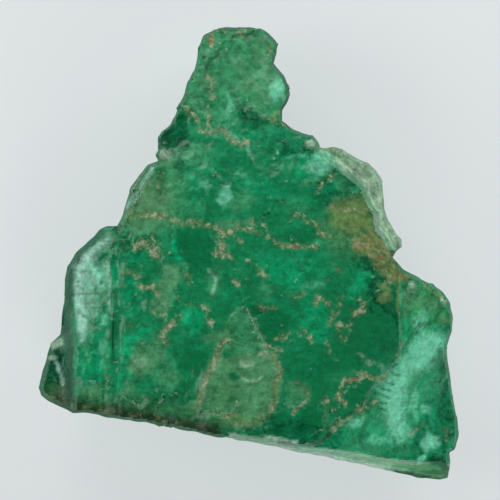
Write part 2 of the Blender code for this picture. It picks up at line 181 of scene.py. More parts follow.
PLATE_RELIEF = (
    # outline, height change, width of its edge
    (SQUARE_LUMP, 0.12, 0.50),
    (KITE_CHIP, 0.04, 0.40),
    (DARK_PIT, -0.06, 0.60),
    (SHELL_CHIP, -0.06, 0.20),
    (COLUMN_GROOVE, -0.16, 0.08),
    (NECK_LUMP, 0.16, 0.60),
    (NECK_HOLLOW, -0.12, 0.70),
    (RIGHT_HOLLOW, -0.12, 0.90),
)

BEADS = (
    # centre, radius, how far it stands out
    ((1.55, 2.78), 0.24, 0.22),
    ((-2.18, 2.48), 0.17, 0.15),
    ((4.05, -0.84), 0.16, 0.12),
    ((4.88, -1.19), 0.15, 0.12),
)

CHIP_SIZE = 1.15             # the front's scooped chips: how wide, and how steep
CHIP_TILT = 0.10
RIPPLE_SIZE = 0.55           # its low waves
RIPPLE_HEIGHT = 0.030
SIDE_CHIP_SIZE = 0.9         # chips out of the sides and the back
SIDE_CHIP_DEPTH = 0.16
EDGE_WANDER = 0.03           # how far the outline strays from its corners' straight lines
SHARP_ANGLE = 0.55           # radians between faces, past which an edge is sharp

# Finer relief than the solid has
FINE_CHIP_SIZE = 0.34
FINE_CHIP_TILT = 0.022
FINE_RIPPLE_SIZE = 0.16
FINE_RIPPLE_HEIGHT = 0.006


def plan(verts):
    """The X and Y of some vertices, as one array."""
    return np.array([vert.co.xy for vert in verts])


def stretch_distance(points, start, end):
    """Distance of each point to the straight stretch between two corners."""
    edge = end - start
    offset = points - start
    along = np.clip((offset @ edge) / (edge @ edge), 0.0, 1.0)
    return np.linalg.norm(offset - along[:, None] * edge, axis=1)


def signed_distance(points, outline):
    """Distance of each point to a closed outline, positive inside it."""
    nearest = np.full(len(points), np.inf)
    inside = np.zeros(len(points), dtype=bool)
    corners = np.array(outline)
    for start, end in zip(corners, np.roll(corners, -1, axis=0)):
        edge = end - start
        nearest = np.minimum(nearest, stretch_distance(points, start, end))
        if start[1] != end[1]:
            spans = (start[1] > points[:, 1]) != (end[1] > points[:, 1])
            crossing = start[0] + (points[:, 1] - start[1]) * edge[0] / edge[1]
            inside ^= spans & (points[:, 0] < crossing)
    return np.where(inside, nearest, -nearest)


def nearest_on_outline(point, outline):
    """The point of a closed outline nearest to one point in plan."""
    best = None
    corners = [Vector(corner) for corner in outline]
    for start, end in zip(corners, corners[1:] + corners[:1]):
        edge = end - start
        along = min(max((point - start).dot(edge) / edge.length_squared, 0.0), 1.0)
        foot = start + along * edge
        if best is None or (foot - point).length < (best - point).length:
            best = foot
    return best


def ramp(values, width):
    """0 at or below minus half the width, 1 above half of it, smooth between."""
    share = np.clip(values / width + 0.5, 0.0, 1.0)
    return share * share * (3.0 - 2.0 * share)


def ripple(points, size, seed):
    """Smooth noise between -1 and 1 at each point in plan."""
    return np.array([noise.fractal(Vector((x / size, y / size, seed)), 0.6, 2.0, 4) for x, y in points])


def chips(points, size, seed):
    """Scooped facets: shallow bowls, each tilted its own way, that meet in low ridges."""
    heights = []
    for x, y in points:
        here = Vector((x / size, y / size, seed))
        bowls = []
        for site in noise.voronoi(here)[1]:
            away = here - site
            tilt = noise.cell_vector(site * 7.0) - HALF
            bowls.append(2.0 * tilt.dot(away) + 0.7 * away.length_squared)
        heights.append(min(bowls))
    return np.array(heights)


def rim_values(points):
    """Edge height, front run and back run at each point, blended between the anchors."""
    total = np.zeros(len(points))
    blend = np.zeros((len(points), 3))
    for x, y, *values in RIM_ANCHORS:
        weight = 1.0 / (((points - (x, y)) ** 2).sum(axis=1) + 0.05) ** 2
        total += weight
        blend += weight[:, None] * np.array(values)
    return (blend / total[:, None]).T


def plate_height(points):
    """The broad front face: a few near-flat planes with low lumps, chips and pits."""
    x, y = points.T
    middle = PLATE_HEIGHT - PLATE_TILT[0] * x - PLATE_TILT[1] * (y - PLATE_TILT_START)
    towards_neck = PLATE_HEIGHT - NECK_SLOPE * (y - NECK_START)
    towards_column = PLATE_HEIGHT + LEFT_SLOPE * (x - LEFT_START)
    towards_right = PLATE_HEIGHT - RIGHT_SLOPE * (x - RIGHT_START)
    height = np.minimum(np.minimum(middle, towards_neck), np.minimum(towards_column, towards_right))
    for outline, rise, width in PLATE_RELIEF:
        height = height + rise * ramp(signed_distance(points, outline), width)
    return height


def front_height(points):
    """Height of the front over each point in plan, before its edge falls to the rim."""
    x, y = points.T
    height = plate_height(points)

    section_x, section_z = zip(*COLUMN_SECTION)
    past_end = np.clip(y - COLUMN_TOP + COLUMN_END_SKEW * (x - COLUMN_END_X), 0.0, None)
    at_foot = ramp(COLUMN_FOOT - y, 0.8) * np.clip((COLUMN_FOOT_EDGE - x) / COLUMN_FOOT_WIDTH, 0.0, 1.0)
    column = np.interp(x, section_x, section_z) - COLUMN_END_SLOPE * past_end + COLUMN_FOOT_RISE * at_foot
    on_column = (x < COLUMN_SECTION[-1][0]) & (y < COLUMN_LIMIT)
    height = np.where(on_column, np.minimum(height, column), height)

    height = height - SLIVER_DROP * ramp(signed_distance(points, UPPER_LEFT_SLIVER), 0.05)
    height = height - CORNER_DROP * ramp(signed_distance(points, LOWER_LEFT_CORNER), 0.20)

    facet = PLATE_HEIGHT - LEDGE_DROP - FACET_SLOPE_X * (x - FACET_MIDDLE[0])
    facet = facet + FACET_SLOPE_Y * (y - FACET_MIDDLE[1])
    facet = facet - FACET_TIP_DROP * ramp(x - y - FACET_TIP_START, 1.6)
    step = ramp(signed_distance(points, LOWER_RIGHT_FACET), 0.09)
    height = height + (np.minimum(facet, height - LEDGE_GAP) - height) * step

    sheet_height = FRINGE_HEIGHT - FRINGE_SLOPE * np.clip(x - FRINGE_START, 0.0, None)
    sheet = ramp(signed_distance(points, THIN_SHEET), 0.24)
    height = height + (np.minimum(sheet_height, height) - height) * sheet

    below = np.clip(signed_distance(points, BOTTOM_FACE), 0.0, None)
    height = height - BOTTOM_SLOPE * np.minimum(below, BOTTOM_RUN) * ramp(below, 0.04)

    height = height + CHIP_TILT * chips(points, CHIP_SIZE, 3.0)
    height = height + RIPPLE_HEIGHT * ripple(points, RIPPLE_SIZE, 8.0)
    height = height + FINE_CHIP_TILT * chips(points, FINE_CHIP_SIZE, 29.0)
    height = height + FINE_RIPPLE_HEIGHT * ripple(points, FINE_RIPPLE_SIZE, 41.0)
    for centre, radius, rise in BEADS:
        reach = 1.0 - ((points - centre) ** 2).sum(axis=1) / radius ** 2
        height = height + rise * np.sqrt(np.clip(reach, 0.0, 1.0))
    return height


def rounded_rise(distance, run):
    """0 at the edge and 1 at the end of the run, steep first and then easing."""
    share = np.clip(distance / run, 0.0, 1.0)
    return 1.0 - (1.0 - share) ** 1.7


def trimmed_grid():
    """A flat grid cut to the outline, its border vertices moved onto it."""
    bm = bmesh.new()
    reach = max(abs(value) for corner in OUTLINE for value in corner) + GRID_STEP
    segments = round(2.0 * reach / GRID_STEP)
    bmesh.ops.create_grid(bm, x_segments=segments, y_segments=segments, size=reach)
    centres = np.array([face.calc_center_median().xy for face in bm.faces])
    keep = signed_distance(centres, OUTLINE) > 0.0
    outside = [face for face, kept in zip(bm.faces, keep) if not kept]
    bmesh.ops.delete(bm, geom=outside, context="FACES")
    for vert in bm.verts:
        if vert.is_boundary:
            foot = nearest_on_outline(vert.co.xy, OUTLINE)
            wander = noise.noise_vector(Vector((foot.x, foot.y, 0.0)) * 3.1) * EDGE_WANDER
            vert.co = (foot.x + wander.x, foot.y + wander.y, 0.0)
    inner = [vert for vert in bm.verts if not vert.is_boundary]
    bmesh.ops.smooth_vert(bm, verts=inner, factor=0.4, use_axis_x=True, use_axis_y=True)
    bmesh.ops.remove_doubles(bm, verts=bm.verts, dist=0.2 * GRID_STEP)
    return bm


def back_height(points, inset, rim, run):
    """The back: flat in the middle, rising over a few planes and the rim's slope."""
    chipped = inset + 0.30 * chips(points, SIDE_CHIP_SIZE, 17.0) * np.clip(inset / 0.4, 0.0, 1.0)
    height = rim * (1.0 - rounded_rise(np.clip(chipped, 0.0, None), run))
    for start, way, slope in BACK_PLANES:
        away = (points - start) @ np.array(Vector(way).normalized())
        height = np.maximum(height, np.minimum(slope * away, rim))
    return height


def sculpt(bm):
    """Extrude the grid once and raise the front and the back to their heights."""
    back = list(bm.verts)
    extruded = bmesh.ops.extrude_face_region(bm, geom=bm.faces[:])
    front = [item for item in extruded["geom"] if isinstance(item, bmesh.types.BMVert)]
    for side, verts in (("back", back), ("front", front)):
        points = plan(verts)
        inset = np.clip(signed_distance(points, OUTLINE), 0.0, None)
        rim, front_run, back_run = rim_values(points)
        low = back_height(points, inset, rim - 0.5 * RIM_THICKNESS, back_run)
        if side == "front":
            edge = rim + 0.5 * RIM_THICKNESS
            full = np.maximum(front_height(points), edge)
            full = edge + (full - edge) * rounded_rise(inset, front_run)
            low = np.maximum(full, low + RIM_THICKNESS)
        for vert, height in zip(verts, low):
            vert.co.z = height


def chip_sides(bm):
    """Divide the stretched side faces and bite shallow chips out of them."""
    for _ in range(2):
        stretched = [edge for edge in bm.edges if edge.calc_length() > 2.6 * GRID_STEP]
        bmesh.ops.subdivide_edges(bm, edges=stretched, cuts=1, use_grid_fill=True)
    bm.normal_update()
    rims = rim_values(plan(bm.verts))[0]
    moves = []
    for vert, rim in zip(bm.verts, rims):
        steep = 1.0 - min(abs(vert.normal.z) * 1.6, 1.0)
        from_rim = min(abs(vert.co.z - rim) / 0.5, 1.0)
        from_floor = min(vert.co.z / 0.8, 1.0)
        here = vert.co / SIDE_CHIP_SIZE
        site = noise.voronoi(here)[1][0]
        bite = noise.cell_vector(site * 5.0).dot(here - site) + 0.4
        moves.append(-vert.normal * steep * from_rim * from_floor * bite * SIDE_CHIP_DEPTH)
    for vert, move in zip(bm.verts, moves):
        vert.co += move


def cut_flat(bm):
    """Cut the back off at the rest height and close the cut."""
    everything = bm.verts[:] + bm.edges[:] + bm.faces[:]
    cut = bmesh.ops.bisect_plane(
        bm, geom=everything, plane_co=(0.0, 0.0, REST_HEIGHT), plane_no=(0.0, 0.0, 1.0), clear_inner=True)
    rest_edges = [item for item in cut["geom_cut"] if isinstance(item, bmesh.types.BMEdge)]
    bmesh.ops.triangle_fill(bm, edges=rest_edges, use_beauty=True, normal=(0.0, 0.0, -1.0))
    bmesh.ops.recalc_face_normals(bm, faces=bm.faces)


# Tones: colour as eight-bit values, and how cloudy the crystal is where it has it
TONES = {
    "main": ((22, 128, 84), 0.62),
    "deep": ((2, 100, 62), 0.58),
    "bright": ((8, 156, 104), 0.70),
    "soft": ((64, 146, 98), 0.95),
    "cloudy": ((88, 150, 106), 0.90),
    "mint": ((122, 220, 180), 0.95),
    "pale": ((172, 206, 174), 0.82),
    # pale teal: a painted highlight, where edges, cracks and the column's smooth side catch the light
    "painted_highlight": ((150, 204, 184), 0.88),
    "grey": ((92, 140, 104), 0.85),
    "dark": ((26, 62, 40), 0.80),
    # darker green for the steep faces near the outline: painted shade
    "shaded_brink": ((32, 88, 62), 0.95),
    "window": ((140, 192, 154), 0.45),
    "khaki": ((106, 132, 84), 0.90),
    "lime": ((74, 164, 96), 0.90),
    # darkest green: painted shade on the column's steep left flank and the low lower left corner
    "painted_shade": ((2, 64, 42), 0.90),
    "shaded": ((28, 50, 30), 0.95),
}

# Stains, which the material breaks up into grains
STAINS = ("olive", "brown", "tan")

OLIVE_PATCH = (
    (1.95, 1.1), (2.1, 1.38), (2.45, 1.45), (2.95, 1.52), (3.12, 1.2), (3.18, 0.85), (3.1, 0.58),
    (2.7, 0.42), (2.3, 0.45), (1.98, 0.75),
)
BROWN_STRIP = (
    (2.55, 0.42), (3.1, 0.62), (3.45, 0.35), (3.62, 0.05), (3.85, -0.36), (4.3, -0.62), (4.0, -0.72),
    (3.7, -0.8), (3.45, -0.75), (3.2, -0.5), (2.95, -0.15), (2.6, 0.05),
)
# The bright band down the left of the lower right facet: painted reflection of light inside the crystal
MINT_GLEAM = (
    (4.3, -1.95), (4.85, -2.02), (4.9, -2.45), (4.5, -2.82), (4.02, -3.02), (3.9, -3.55), (3.84, -4.15),
    (4.1, -4.5), (3.75, -4.72), (3.42, -4.35), (3.38, -3.85), (3.22, -3.45), (3.1, -3.32), (3.5, -2.92),
    (3.8, -2.62), (4.02, -2.3),
)
COLUMN = (
    (-4.8, -1.9), (-4.7, 0.0), (-4.0, 0.8), (-3.3, 0.8), (-3.35, 0.2), (-3.48, -0.2), (-3.46, -1.7),
    (-3.52, -2.6), (-3.6, -3.6), (-3.62, -4.2), (-4.45, -4.2), (-4.4, -2.8),
)
# Where the column's smooth side catches the light: a painted highlight
COLUMN_GLEAM = (
    (-4.4, -0.24), (-4.0, 0.14), (-3.45, 0.42), (-3.52, 0.26), (-3.82, 0.0), (-4.06, -0.3),
    (-4.13, -0.94), (-4.08, -1.4), (-4.0, -1.8), (-4.1, -2.2), (-4.2, -2.22), (-4.26, -1.8),
    (-4.38, -1.0),
)
UPPER_LEFT = (
    (-3.3, 0.4), (-3.0, 1.1), (-2.55, 1.8), (-2.2, 2.45), (-1.75, 2.55), (-1.55, 1.9), (-1.55, 1.1),
    (-1.6, 0.65), (-2.2, 0.5),
)

NECK = ((-1.25, 5.8), (0.8, 5.6), (1.1, 4.0), (0.8, 3.2), (-0.4, 2.9), (-1.6, 3.3), (-1.7, 4.2))
UPPER_PLATE = (
    (-1.5, 3.2), (-1.8, 2.4), (-1.4, 1.4), (0.2, 1.2), (1.6, 1.6), (1.8, 2.5), (0.9, 3.2), (0.3, 3.7),
    (-0.8, 3.8),
)

COLUMN_FLANK = -4.16         # X to the left of which the column's side is dull: rougher, and painted in shade as the steep edges are
CRISP = 0.025                # softer regions and wider lines than this get a ragged edge

# Regions with an outline of their own: outline, tone, softness, strength
REGIONS = (
    (NECK, "soft", 0.70, 0.75),
    (UPPER_PLATE, "bright", 1.00, 0.40),
    (UPPER_LEFT, "soft", 0.40, 0.75),
    (LOWER_RIGHT_FACET, "bright", 0.08, 0.85),
    (LOWER_RIGHT_FACET, "cloudy", 0.08, 0.10),
    (MINT_GLEAM, "mint", 0.45, 0.92),
    (BOTTOM_FACE, "grey", 0.05, 0.85),
    (BOTTOM_FACE, "lime", 0.05, 0.20),
    (THIN_SHEET, "pale", 0.07, 0.92),
    (OLIVE_PATCH, "olive", 0.55, 0.85),
    (BROWN_STRIP, "olive", 0.40, 0.85),
    (BROWN_STRIP, "brown", 0.30, 0.60),
    (UPPER_LEFT_SLIVER, "grey", 0.05, 0.85),
    (COLUMN, "bright", 0.06, 0.50),
    (COLUMN_GLEAM, "painted_highlight", 0.14, 0.84),
    # painted shade over the low lower left corner
    (LOWER_LEFT_CORNER, "painted_shade", 0.08, 0.85),
    (SQUARE_LUMP, "soft", 0.12, 0.55),
    (SQUARE_LUMP, "cloudy", 0.16, 0.35),
    (SQUARE_LUMP, "khaki", 0.30, 0.22),
    (KITE_CHIP, "cloudy", 0.02, 0.38),
    (DARK_PIT, "deep", 0.02, 0.95),
    (SHELL_CHIP, "soft", 0.02, 0.35),
    (NECK_HOLLOW, "deep", 0.30, 0.90),
    (RIGHT_HOLLOW, "deep", 0.50, 0.75),
)

FACET_EDGE = 0.03            # how soft the facets' edges are

# Small facets with straight edges: tone, strength, corners
FACETS = (
    ("cloudy", 0.45, ((-2.04, -0.24), (-1.77, -0.44), (-1.74, -0.9), (-1.88, -1.35), (-2.15, -1.45),
        (-2.24, -0.8))),
    ("deep", 0.7, ((-1.8, 0.6), (-1.02, 0.62), (-0.86, 0.12), (-0.95, -0.33), (-1.46, -0.3),
        (-1.74, -0.06))),
    ("bright", 0.75, ((-1.94, 0.36), (-1.82, 0.34), (-1.76, -0.1), (-1.9, -0.18))),
    ("soft", 0.6, ((-1.73, -0.24), (-1.48, -0.24), (-1.5, -0.46), (-1.66, -0.48))),
    ("bright", 0.45, ((-3.06, -0.7), (-2.8, -0.66), (-2.62, -0.94), (-2.76, -1.18), (-3.02, -1.1))),
    ("bright", 0.6, ((-3.22, -2.0), (-2.86, -2.04), (-2.8, -2.36), (-3.08, -2.78), (-3.22, -2.62))),
    ("cloudy", 0.45, ((-2.88, -2.32), (-2.52, -2.14), (-2.3, -2.48), (-2.38, -2.96), (-2.8, -3.04),
        (-3.0, -2.7))),
    ("bright", 0.7, ((-1.64, -1.44), (-1.26, -1.36), (-1.12, -1.64), (-1.2, -1.92), (-1.52, -1.86))),
    ("soft", 0.35, ((-2.26, -2.7), (-1.82, -2.62), (-1.7, -3.1), (-1.92, -3.5), (-2.24, -3.36))),
    ("deep", 0.5, ((-1.62, -2.1), (-1.18, -2.14), (-0.9, -2.6), (-1.14, -3.02), (-1.6, -2.9))),
    ("bright", 0.4, ((2.55, -0.54), (2.86, -0.48), (2.92, -0.76), (2.62, -1.28), (2.44, -1.12))),
    ("bright", 0.35, ((0.4, 0.02), (0.78, -0.2), (1.16, -0.62), (1.02, -0.92), (0.62, -0.66))),
    ("deep", 0.35, ((0.6, -0.98), (1.16, -1.02), (1.4, -1.62), (1.02, -1.9))),
    ("bright", 0.35, ((1.4, -1.36), (1.92, -1.3), (2.02, -1.92), (1.62, -2.22))),
    ("soft", 0.3, ((0.7, 1.3), (1.34, 1.44), (1.62, 1.0), (1.04, 0.92))),
    ("soft", 0.3, ((-1.62, 1.3), (-1.12, 1.38), (-0.98, 1.0), (-1.44, 0.9))),
    ("cloudy", 0.3, ((2.02, 1.98), (2.4, 1.86), (2.66, 1.56), (2.24, 1.52))),
    ("deep", 0.4, ((-2.02, 2.98), (-1.6, 3.2), (-1.42, 2.86), (-1.74, 2.66))),
    ("bright", 0.45, ((-4.34, -2.64), (-4.02, -2.52), (-3.8, -2.84), (-3.92, -3.24), (-4.28, -3.1))),
    # painted highlight: the sheen on the column's smooth side
    ("painted_highlight", 0.35, ((-4.14, -0.02), (-3.74, -0.04), (-3.68, -1.0), (-3.78, -1.62), (-4.12, -1.5))),
    ("soft", 0.35, ((3.36, -4.86), (3.86, -4.66), (4.1, -4.92), (3.76, -5.1))),
    ("deep", 0.6, ((4.72, -5.02), (5.0, -5.06), (5.02, -5.44), (4.8, -5.4))),
)

# Soft patches of each tone: x, y, half length, half width, turn in degrees, strength
PATCHES = {
    "khaki": (
        (-2.5, 1.4, 0.5, 0.6, 0, 0.5),     # dull haze above the long vein's left end
        (2.5, 0.5, 0.75, 0.6, 0, 0.4),     # haze round the olive stain
    ),
    "lime": (
        (4.4, -1.2, 0.55, 0.6, 0, 0.5),     # yellow-green upper end of the sloped facet
    ),
    "deep": (
        (0.0, 3.45, 0.3, 0.42, 30, 0.8), (-2.25, 1.85, 0.28, 0.36, 0, 0.5),
        (-1.45, 0.25, 0.42, 0.42, 0, 0.9), (-1.2, -0.35, 0.35, 0.32, 0, 0.6),
        (-0.3, 2.2, 0.5, 0.35, 0, 0.4), (1.4, 0.44, 0.42, 0.15, -6, 0.75), (0.4, 2.25, 0.4, 0.4, 0, 0.45),
        (0.9, 1.75, 0.5, 0.3, 0, 0.35), (3.1, -1.9, 0.6, 0.8, 0, 0.85), (2.7, -3.45, 0.45, 0.42, 30, 0.8),
        (1.5, -4.2, 0.38, 0.36, 0, 1.0), (2.3, -2.4, 0.8, 0.5, 0, 0.55), (1.3, -2.9, 0.55, 0.3, 0, 0.5),
        (-1.65, -3.6, 0.65, 0.32, -8, 0.85), (-1.5, -2.62, 0.42, 0.3, 0, 0.65),
        (-2.4, -3.7, 0.4, 0.2, 0, 0.6), (4.88, -2.95, 0.2, 0.6, 8, 0.6), (4.6, -3.4, 0.3, 0.35, 0, 0.5),
        (4.98, -4.15, 0.22, 0.45, 0, 0.45), (-5.02, -3.2, 0.26, 0.42, -15, 0.6),
        (-4.43, -2.55, 0.1, 0.75, 0, 0.95), (-3.33, -2.15, 0.11, 0.52, 0, 1.0),
        (-4.35, -3.18, 0.14, 0.1, 0, 0.7), (0.85, -4.25, 0.22, 0.3, 0, 0.75),
        (-2.6, -0.62, 0.2, 0.14, 0, 0.6), (0.1, -0.75, 0.25, 0.3, 0, 0.4),
        (2.9, -4.55, 0.14, 0.3, 0, 0.8), (2.25, 0.0, 0.3, 0.2, 0, 0.35), (-0.35, -3.1, 0.12, 0.1, 0, 0.8),
        (-0.35, -3.62, 0.16, 0.08, 0, 0.6), (4.78, -5.25, 0.14, 0.12, 0, 0.9),
        (-1.7, 2.1, 0.2, 0.16, 0, 0.3), (1.75, -3.3, 0.25, 0.6, 0, 0.55),
    ),
    "bright": (
        (1.35, 2.2, 0.14, 0.36, 8, 0.95), (-0.25, 2.62, 0.3, 0.1, 8, 0.65),
        (-1.84, 0.15, 0.07, 0.3, 0, 1.0), (-1.72, -0.13, 0.22, 0.07, -12, 0.95),
        (0.9, -0.55, 0.42, 0.32, -20, 0.95), (1.45, -0.42, 0.45, 0.3, 0, 0.55),
        (0.45, -0.28, 0.32, 0.28, 0, 0.65), (1.7, -1.7, 0.38, 0.5, 0, 0.65),
        (1.3, -1.2, 0.45, 0.36, 0, 0.5), (2.85, -0.62, 0.24, 0.18, 30, 0.8),
        (2.62, -1.02, 0.25, 0.34, 20, 0.55), (-1.45, -1.62, 0.22, 0.32, -10, 1.0),
        (-1.2, -1.45, 0.2, 0.14, 0, 0.6), (-2.95, -0.9, 0.34, 0.26, -35, 0.8),
        (-3.05, -1.38, 0.3, 0.24, 0, 0.65), (-3.08, -2.3, 0.22, 0.36, 0, 0.95),
        (-2.68, -2.0, 0.36, 0.13, 15, 0.85), (-3.22, -3.2, 0.2, 0.38, 25, 0.75),
        (-3.36, -0.42, 0.12, 0.3, 0, 1.0), (-4.02, -2.82, 0.4, 0.28, 0, 0.95),
        (-3.58, -2.2, 0.14, 0.4, 0, 0.65), (3.2, -4.48, 0.3, 0.28, 0, 0.95),
        (4.42, -3.42, 0.28, 0.36, 0, 0.65), (-2.7, -0.08, 0.3, 0.18, 0, 0.5),
        (1.5, 0.05, 0.6, 0.25, 0, 0.35), (4.05, -5.05, 0.1, 0.06, 30, 0.6),
        (0.3, 1.6, 0.4, 0.25, 0, 0.25), (-0.5, -1.0, 0.25, 0.2, 0, 0.25),
        (2.1, 1.62, 0.34, 0.18, 10, 0.35), (-0.1, 3.0, 0.3, 0.16, 0, 0.45),
        (-3.42, -3.62, 0.14, 0.24, 0, 0.5), (3.55, -4.95, 0.25, 0.1, 0, 0.45),
        (1.95, -4.65, 0.2, 0.1, 0, 0.5),
    ),
    "mint": (
        (-0.6, 1.42, 0.15, 0.28, 0, 0.75), (-1.1, 1.7, 0.14, 0.24, 0, 0.45),
        (0.68, 4.05, 0.22, 0.24, 0, 0.65), (-0.53, 3.6, 0.12, 0.34, 0, 0.4),
        (1.82, 2.25, 0.34, 0.28, 0, 0.55), (2.62, -4.2, 0.24, 0.14, 20, 0.7),
        (4.5, -3.9, 0.12, 0.12, 0, 0.6), (4.52, -4.72, 0.17, 0.22, 0, 0.95),
        (4.15, -3.75, 0.12, 0.36, 0, 0.45), (4.32, -5.1, 0.18, 0.1, 25, 0.75),
        (4.62, -5.38, 0.2, 0.09, 10, 0.55), (4.52, -2.28, 0.26, 0.24, 0, 0.5),
        (-0.38, 2.9, 0.14, 0.08, -40, 0.5), (1.58, -0.8, 0.25, 0.12, 0, 0.25),
        (-3.7, -0.62, 0.14, 0.3, 0, 0.55), (-3.58, -1.62, 0.08, 0.16, 0, 0.6),
        (4.2, -1.72, 0.12, 0.22, -30, 0.6), (3.3, -4.62, 0.3, 0.1, 0, 0.35),
    ),
    "cloudy": (
        (-1.96, -0.62, 0.24, 0.38, -10, 0.9), (-2.22, -1.25, 0.2, 0.28, -10, 0.9),
        (-2.68, -2.72, 0.27, 0.34, 0, 0.9), (-2.28, -2.45, 0.22, 0.36, 0, 0.6),
        (-2.05, -3.1, 0.34, 0.22, 0, 0.5), (-3.0, -3.4, 0.2, 0.2, 0, 0.65),
        (-1.35, -3.8, 0.24, 0.12, 10, 0.65), (-0.75, -2.12, 0.3, 0.2, 0, 0.75),
        (-2.62, 0.72, 0.32, 0.22, 0, 0.55), (-2.3, 1.25, 0.42, 0.28, 15, 0.6),
        (-0.2, 1.3, 0.34, 0.26, 0, 0.4), (0.0, 4.22, 0.24, 0.18, 0, 0.6),
        (-0.2, 4.65, 0.18, 0.24, 0, 0.4), (0.35, 3.85, 0.22, 0.2, 0, 0.35),
        (1.45, 1.75, 0.2, 0.1, 15, 0.45), (1.2, -3.42, 0.26, 0.26, 0, 0.5),
        (-1.05, 4.3, 0.26, 0.22, 0, 0.3), (-1.3, 2.45, 0.4, 0.3, 0, 0.35),
        (-0.4, 0.72, 0.42, 0.15, 10, 0.55), (1.1, -1.1, 0.16, 0.1, 0, 0.5),
        (-2.95, -0.5, 0.24, 0.1, -10, 0.65), (0.1, -2.75, 0.34, 0.2, 0, 0.6),
        (0.28, 5.05, 0.22, 0.34, 0, 0.35), (1.9, -4.1, 0.07, 0.3, -5, 0.45),
        (-3.92, -3.45, 0.26, 0.2, 0, 0.6), (0.45, -0.95, 0.26, 0.18, 0, 0.3),
        (4.3, -1.2, 0.45, 0.24, -25, 0.55), (-0.85, -0.7, 0.22, 0.34, 0, 0.4),
        (-2.05, 2.3, 0.2, 0.16, 0, 0.45), (3.88, -1.2, 0.08, 0.4, 0, 0.55),
    ),
    "pale": (
        (2.32, 2.22, 0.2, 0.1, -30, 0.8), (3.1, 1.55, 0.16, 0.22, 0, 0.45),
        (2.88, 1.8, 0.16, 0.16, 0, 0.4), (3.32, 1.25, 0.07, 0.34, 0, 0.6),
        (1.56, 2.76, 0.16, 0.14, 0, 1.0), (-4.8, -2.22, 0.1, 0.14, 0, 0.55),
        (-4.88, -2.6, 0.12, 0.06, 0, 0.65), (4.85, -1.18, 0.1, 0.08, 0, 0.85),
        (4.07, -0.8, 0.08, 0.08, 0, 0.9), (-2.16, 2.46, 0.12, 0.1, 0, 0.8),
        (3.42, 0.2, 0.14, 0.08, 0, 0.5), (-0.05, -2.74, 0.18, 0.09, 0, 0.5),
        (-2.68, -2.7, 0.12, 0.16, 0, 0.35), (2.45, -5.15, 0.6, 0.04, -10, 0.35),
    ),
    "olive": (
        (-3.0, 0.92, 0.14, 0.18, 0, 0.6), (3.38, -1.0, 0.26, 0.34, 0, 0.7),
        (2.62, 0.78, 0.4, 0.26, 0, 0.5), (4.92, -1.62, 0.16, 0.26, 0, 0.55),
        (0.6, 3.42, 0.32, 0.16, 0, 0.5), (4.12, -4.9, 0.16, 0.14, 0, 0.4),
        (-0.2, -4.12, 0.4, 0.12, -12, 0.55), (3.72, -1.15, 0.05, 0.5, 0, 0.8),
        (0.62, 2.15, 0.22, 0.12, 0, 0.2), (2.6, 1.62, 0.16, 0.16, 0, 0.2),
        (3.4, 0.38, 0.07, 0.05, 0, 0.9),
    ),
    "brown": (
        (-1.0, 5.27, 0.1, 0.18, 0, 0.8), (-0.4, 5.52, 0.55, 0.1, 0, 0.55),
        (0.48, 4.98, 0.1, 0.34, 0, 0.4), (-1.45, 3.48, 0.24, 0.13, -35, 0.55),
        (-2.15, 1.0, 0.34, 0.12, 10, 0.45), (3.82, -0.52, 0.3, 0.13, -35, 0.8),
        (-3.54, -3.0, 0.06, 0.34, 0, 0.6), (2.9, -3.85, 0.2, 0.1, 20, 0.55),
        (3.2, -3.1, 0.14, 0.08, 0, 0.5), (2.8, 0.1, 0.24, 0.08, -10, 0.7),
        (2.3, 1.42, 0.26, 0.1, 0, 0.35), (4.55, -0.92, 0.4, 0.08, -27, 0.6),
        (-0.6, 0.25, 0.12, 0.08, 0, 0.3), (-3.6, -0.3, 0.08, 0.26, 0, 0.4),
    ),
    "tan": (
        (-2.18, 0.92, 0.26, 0.08, -8, 0.8), (-2.02, 1.06, 0.1, 0.06, 30, 0.6),
        (3.2, 0.76, 0.08, 0.22, 0, 0.75), (3.3, -0.15, 0.16, 0.06, -30, 0.75),
        (3.42, -0.5, 0.12, 0.14, 0, 0.7), (3.02, 0.24, 0.18, 0.05, -8, 0.65),
        (2.3, -4.18, 0.16, 0.09, 20, 0.8), (3.76, -2.42, 0.04, 0.14, 0, 0.9),
        (1.98, -3.68, 0.09, 0.07, 0, 0.85), (0.52, 3.32, 0.14, 0.06, -15, 0.7),
        (-0.78, 5.0, 0.13, 0.06, 10, 0.45), (-2.14, -2.02, 0.1, 0.12, 0, 0.75),
        (2.48, 2.1, 0.16, 0.04, -35, 0.55), (2.75, 1.1, 0.1, 0.04, 0, 0.4),
    ),
    "dark": (
        (-0.35, 5.62, 0.4, 0.05, 0, 0.8), (-3.88, -1.16, 0.03, 0.09, -15, 0.95),
        (-4.08, -1.16, 0.07, 0.025, -20, 0.75), (-3.66, -0.7, 0.05, 0.08, -30, 0.8),
        (-4.1, -0.46, 0.08, 0.03, 0, 0.6), (-3.94, -0.46, 0.05, 0.05, 0, 0.7),
        (-4.24, -0.7, 0.06, 0.03, 10, 0.6), (-4.1, -1.56, 0.06, 0.02, 0, 0.6),
        (-3.84, -1.66, 0.04, 0.03, 0, 0.6), (-3.72, -0.12, 0.06, 0.12, -30, 0.5),
        (-1.1, 4.9, 0.05, 0.03, 0, 0.9), (-1.02, 0.83, 0.05, 0.03, 0, 0.95),
        (-0.12, 2.67, 0.05, 0.03, 0, 0.6), (-0.67, 3.08, 0.07, 0.03, 0, 0.6),
        (3.88, -4.8, 0.05, 0.04, 0, 0.7), (1.1, 2.05, 0.05, 0.03, 0, 0.55),
        (-4.22, -2.38, 0.06, 0.06, 0, 0.5), (-1.64, -0.16, 0.1, 0.025, 0, 0.6),
        (-3.33, -1.75, 0.03, 0.1, 0, 0.4),
    ),
}

VEIN_SPREAD = 3.5            # how many half widths a vein's halo reaches

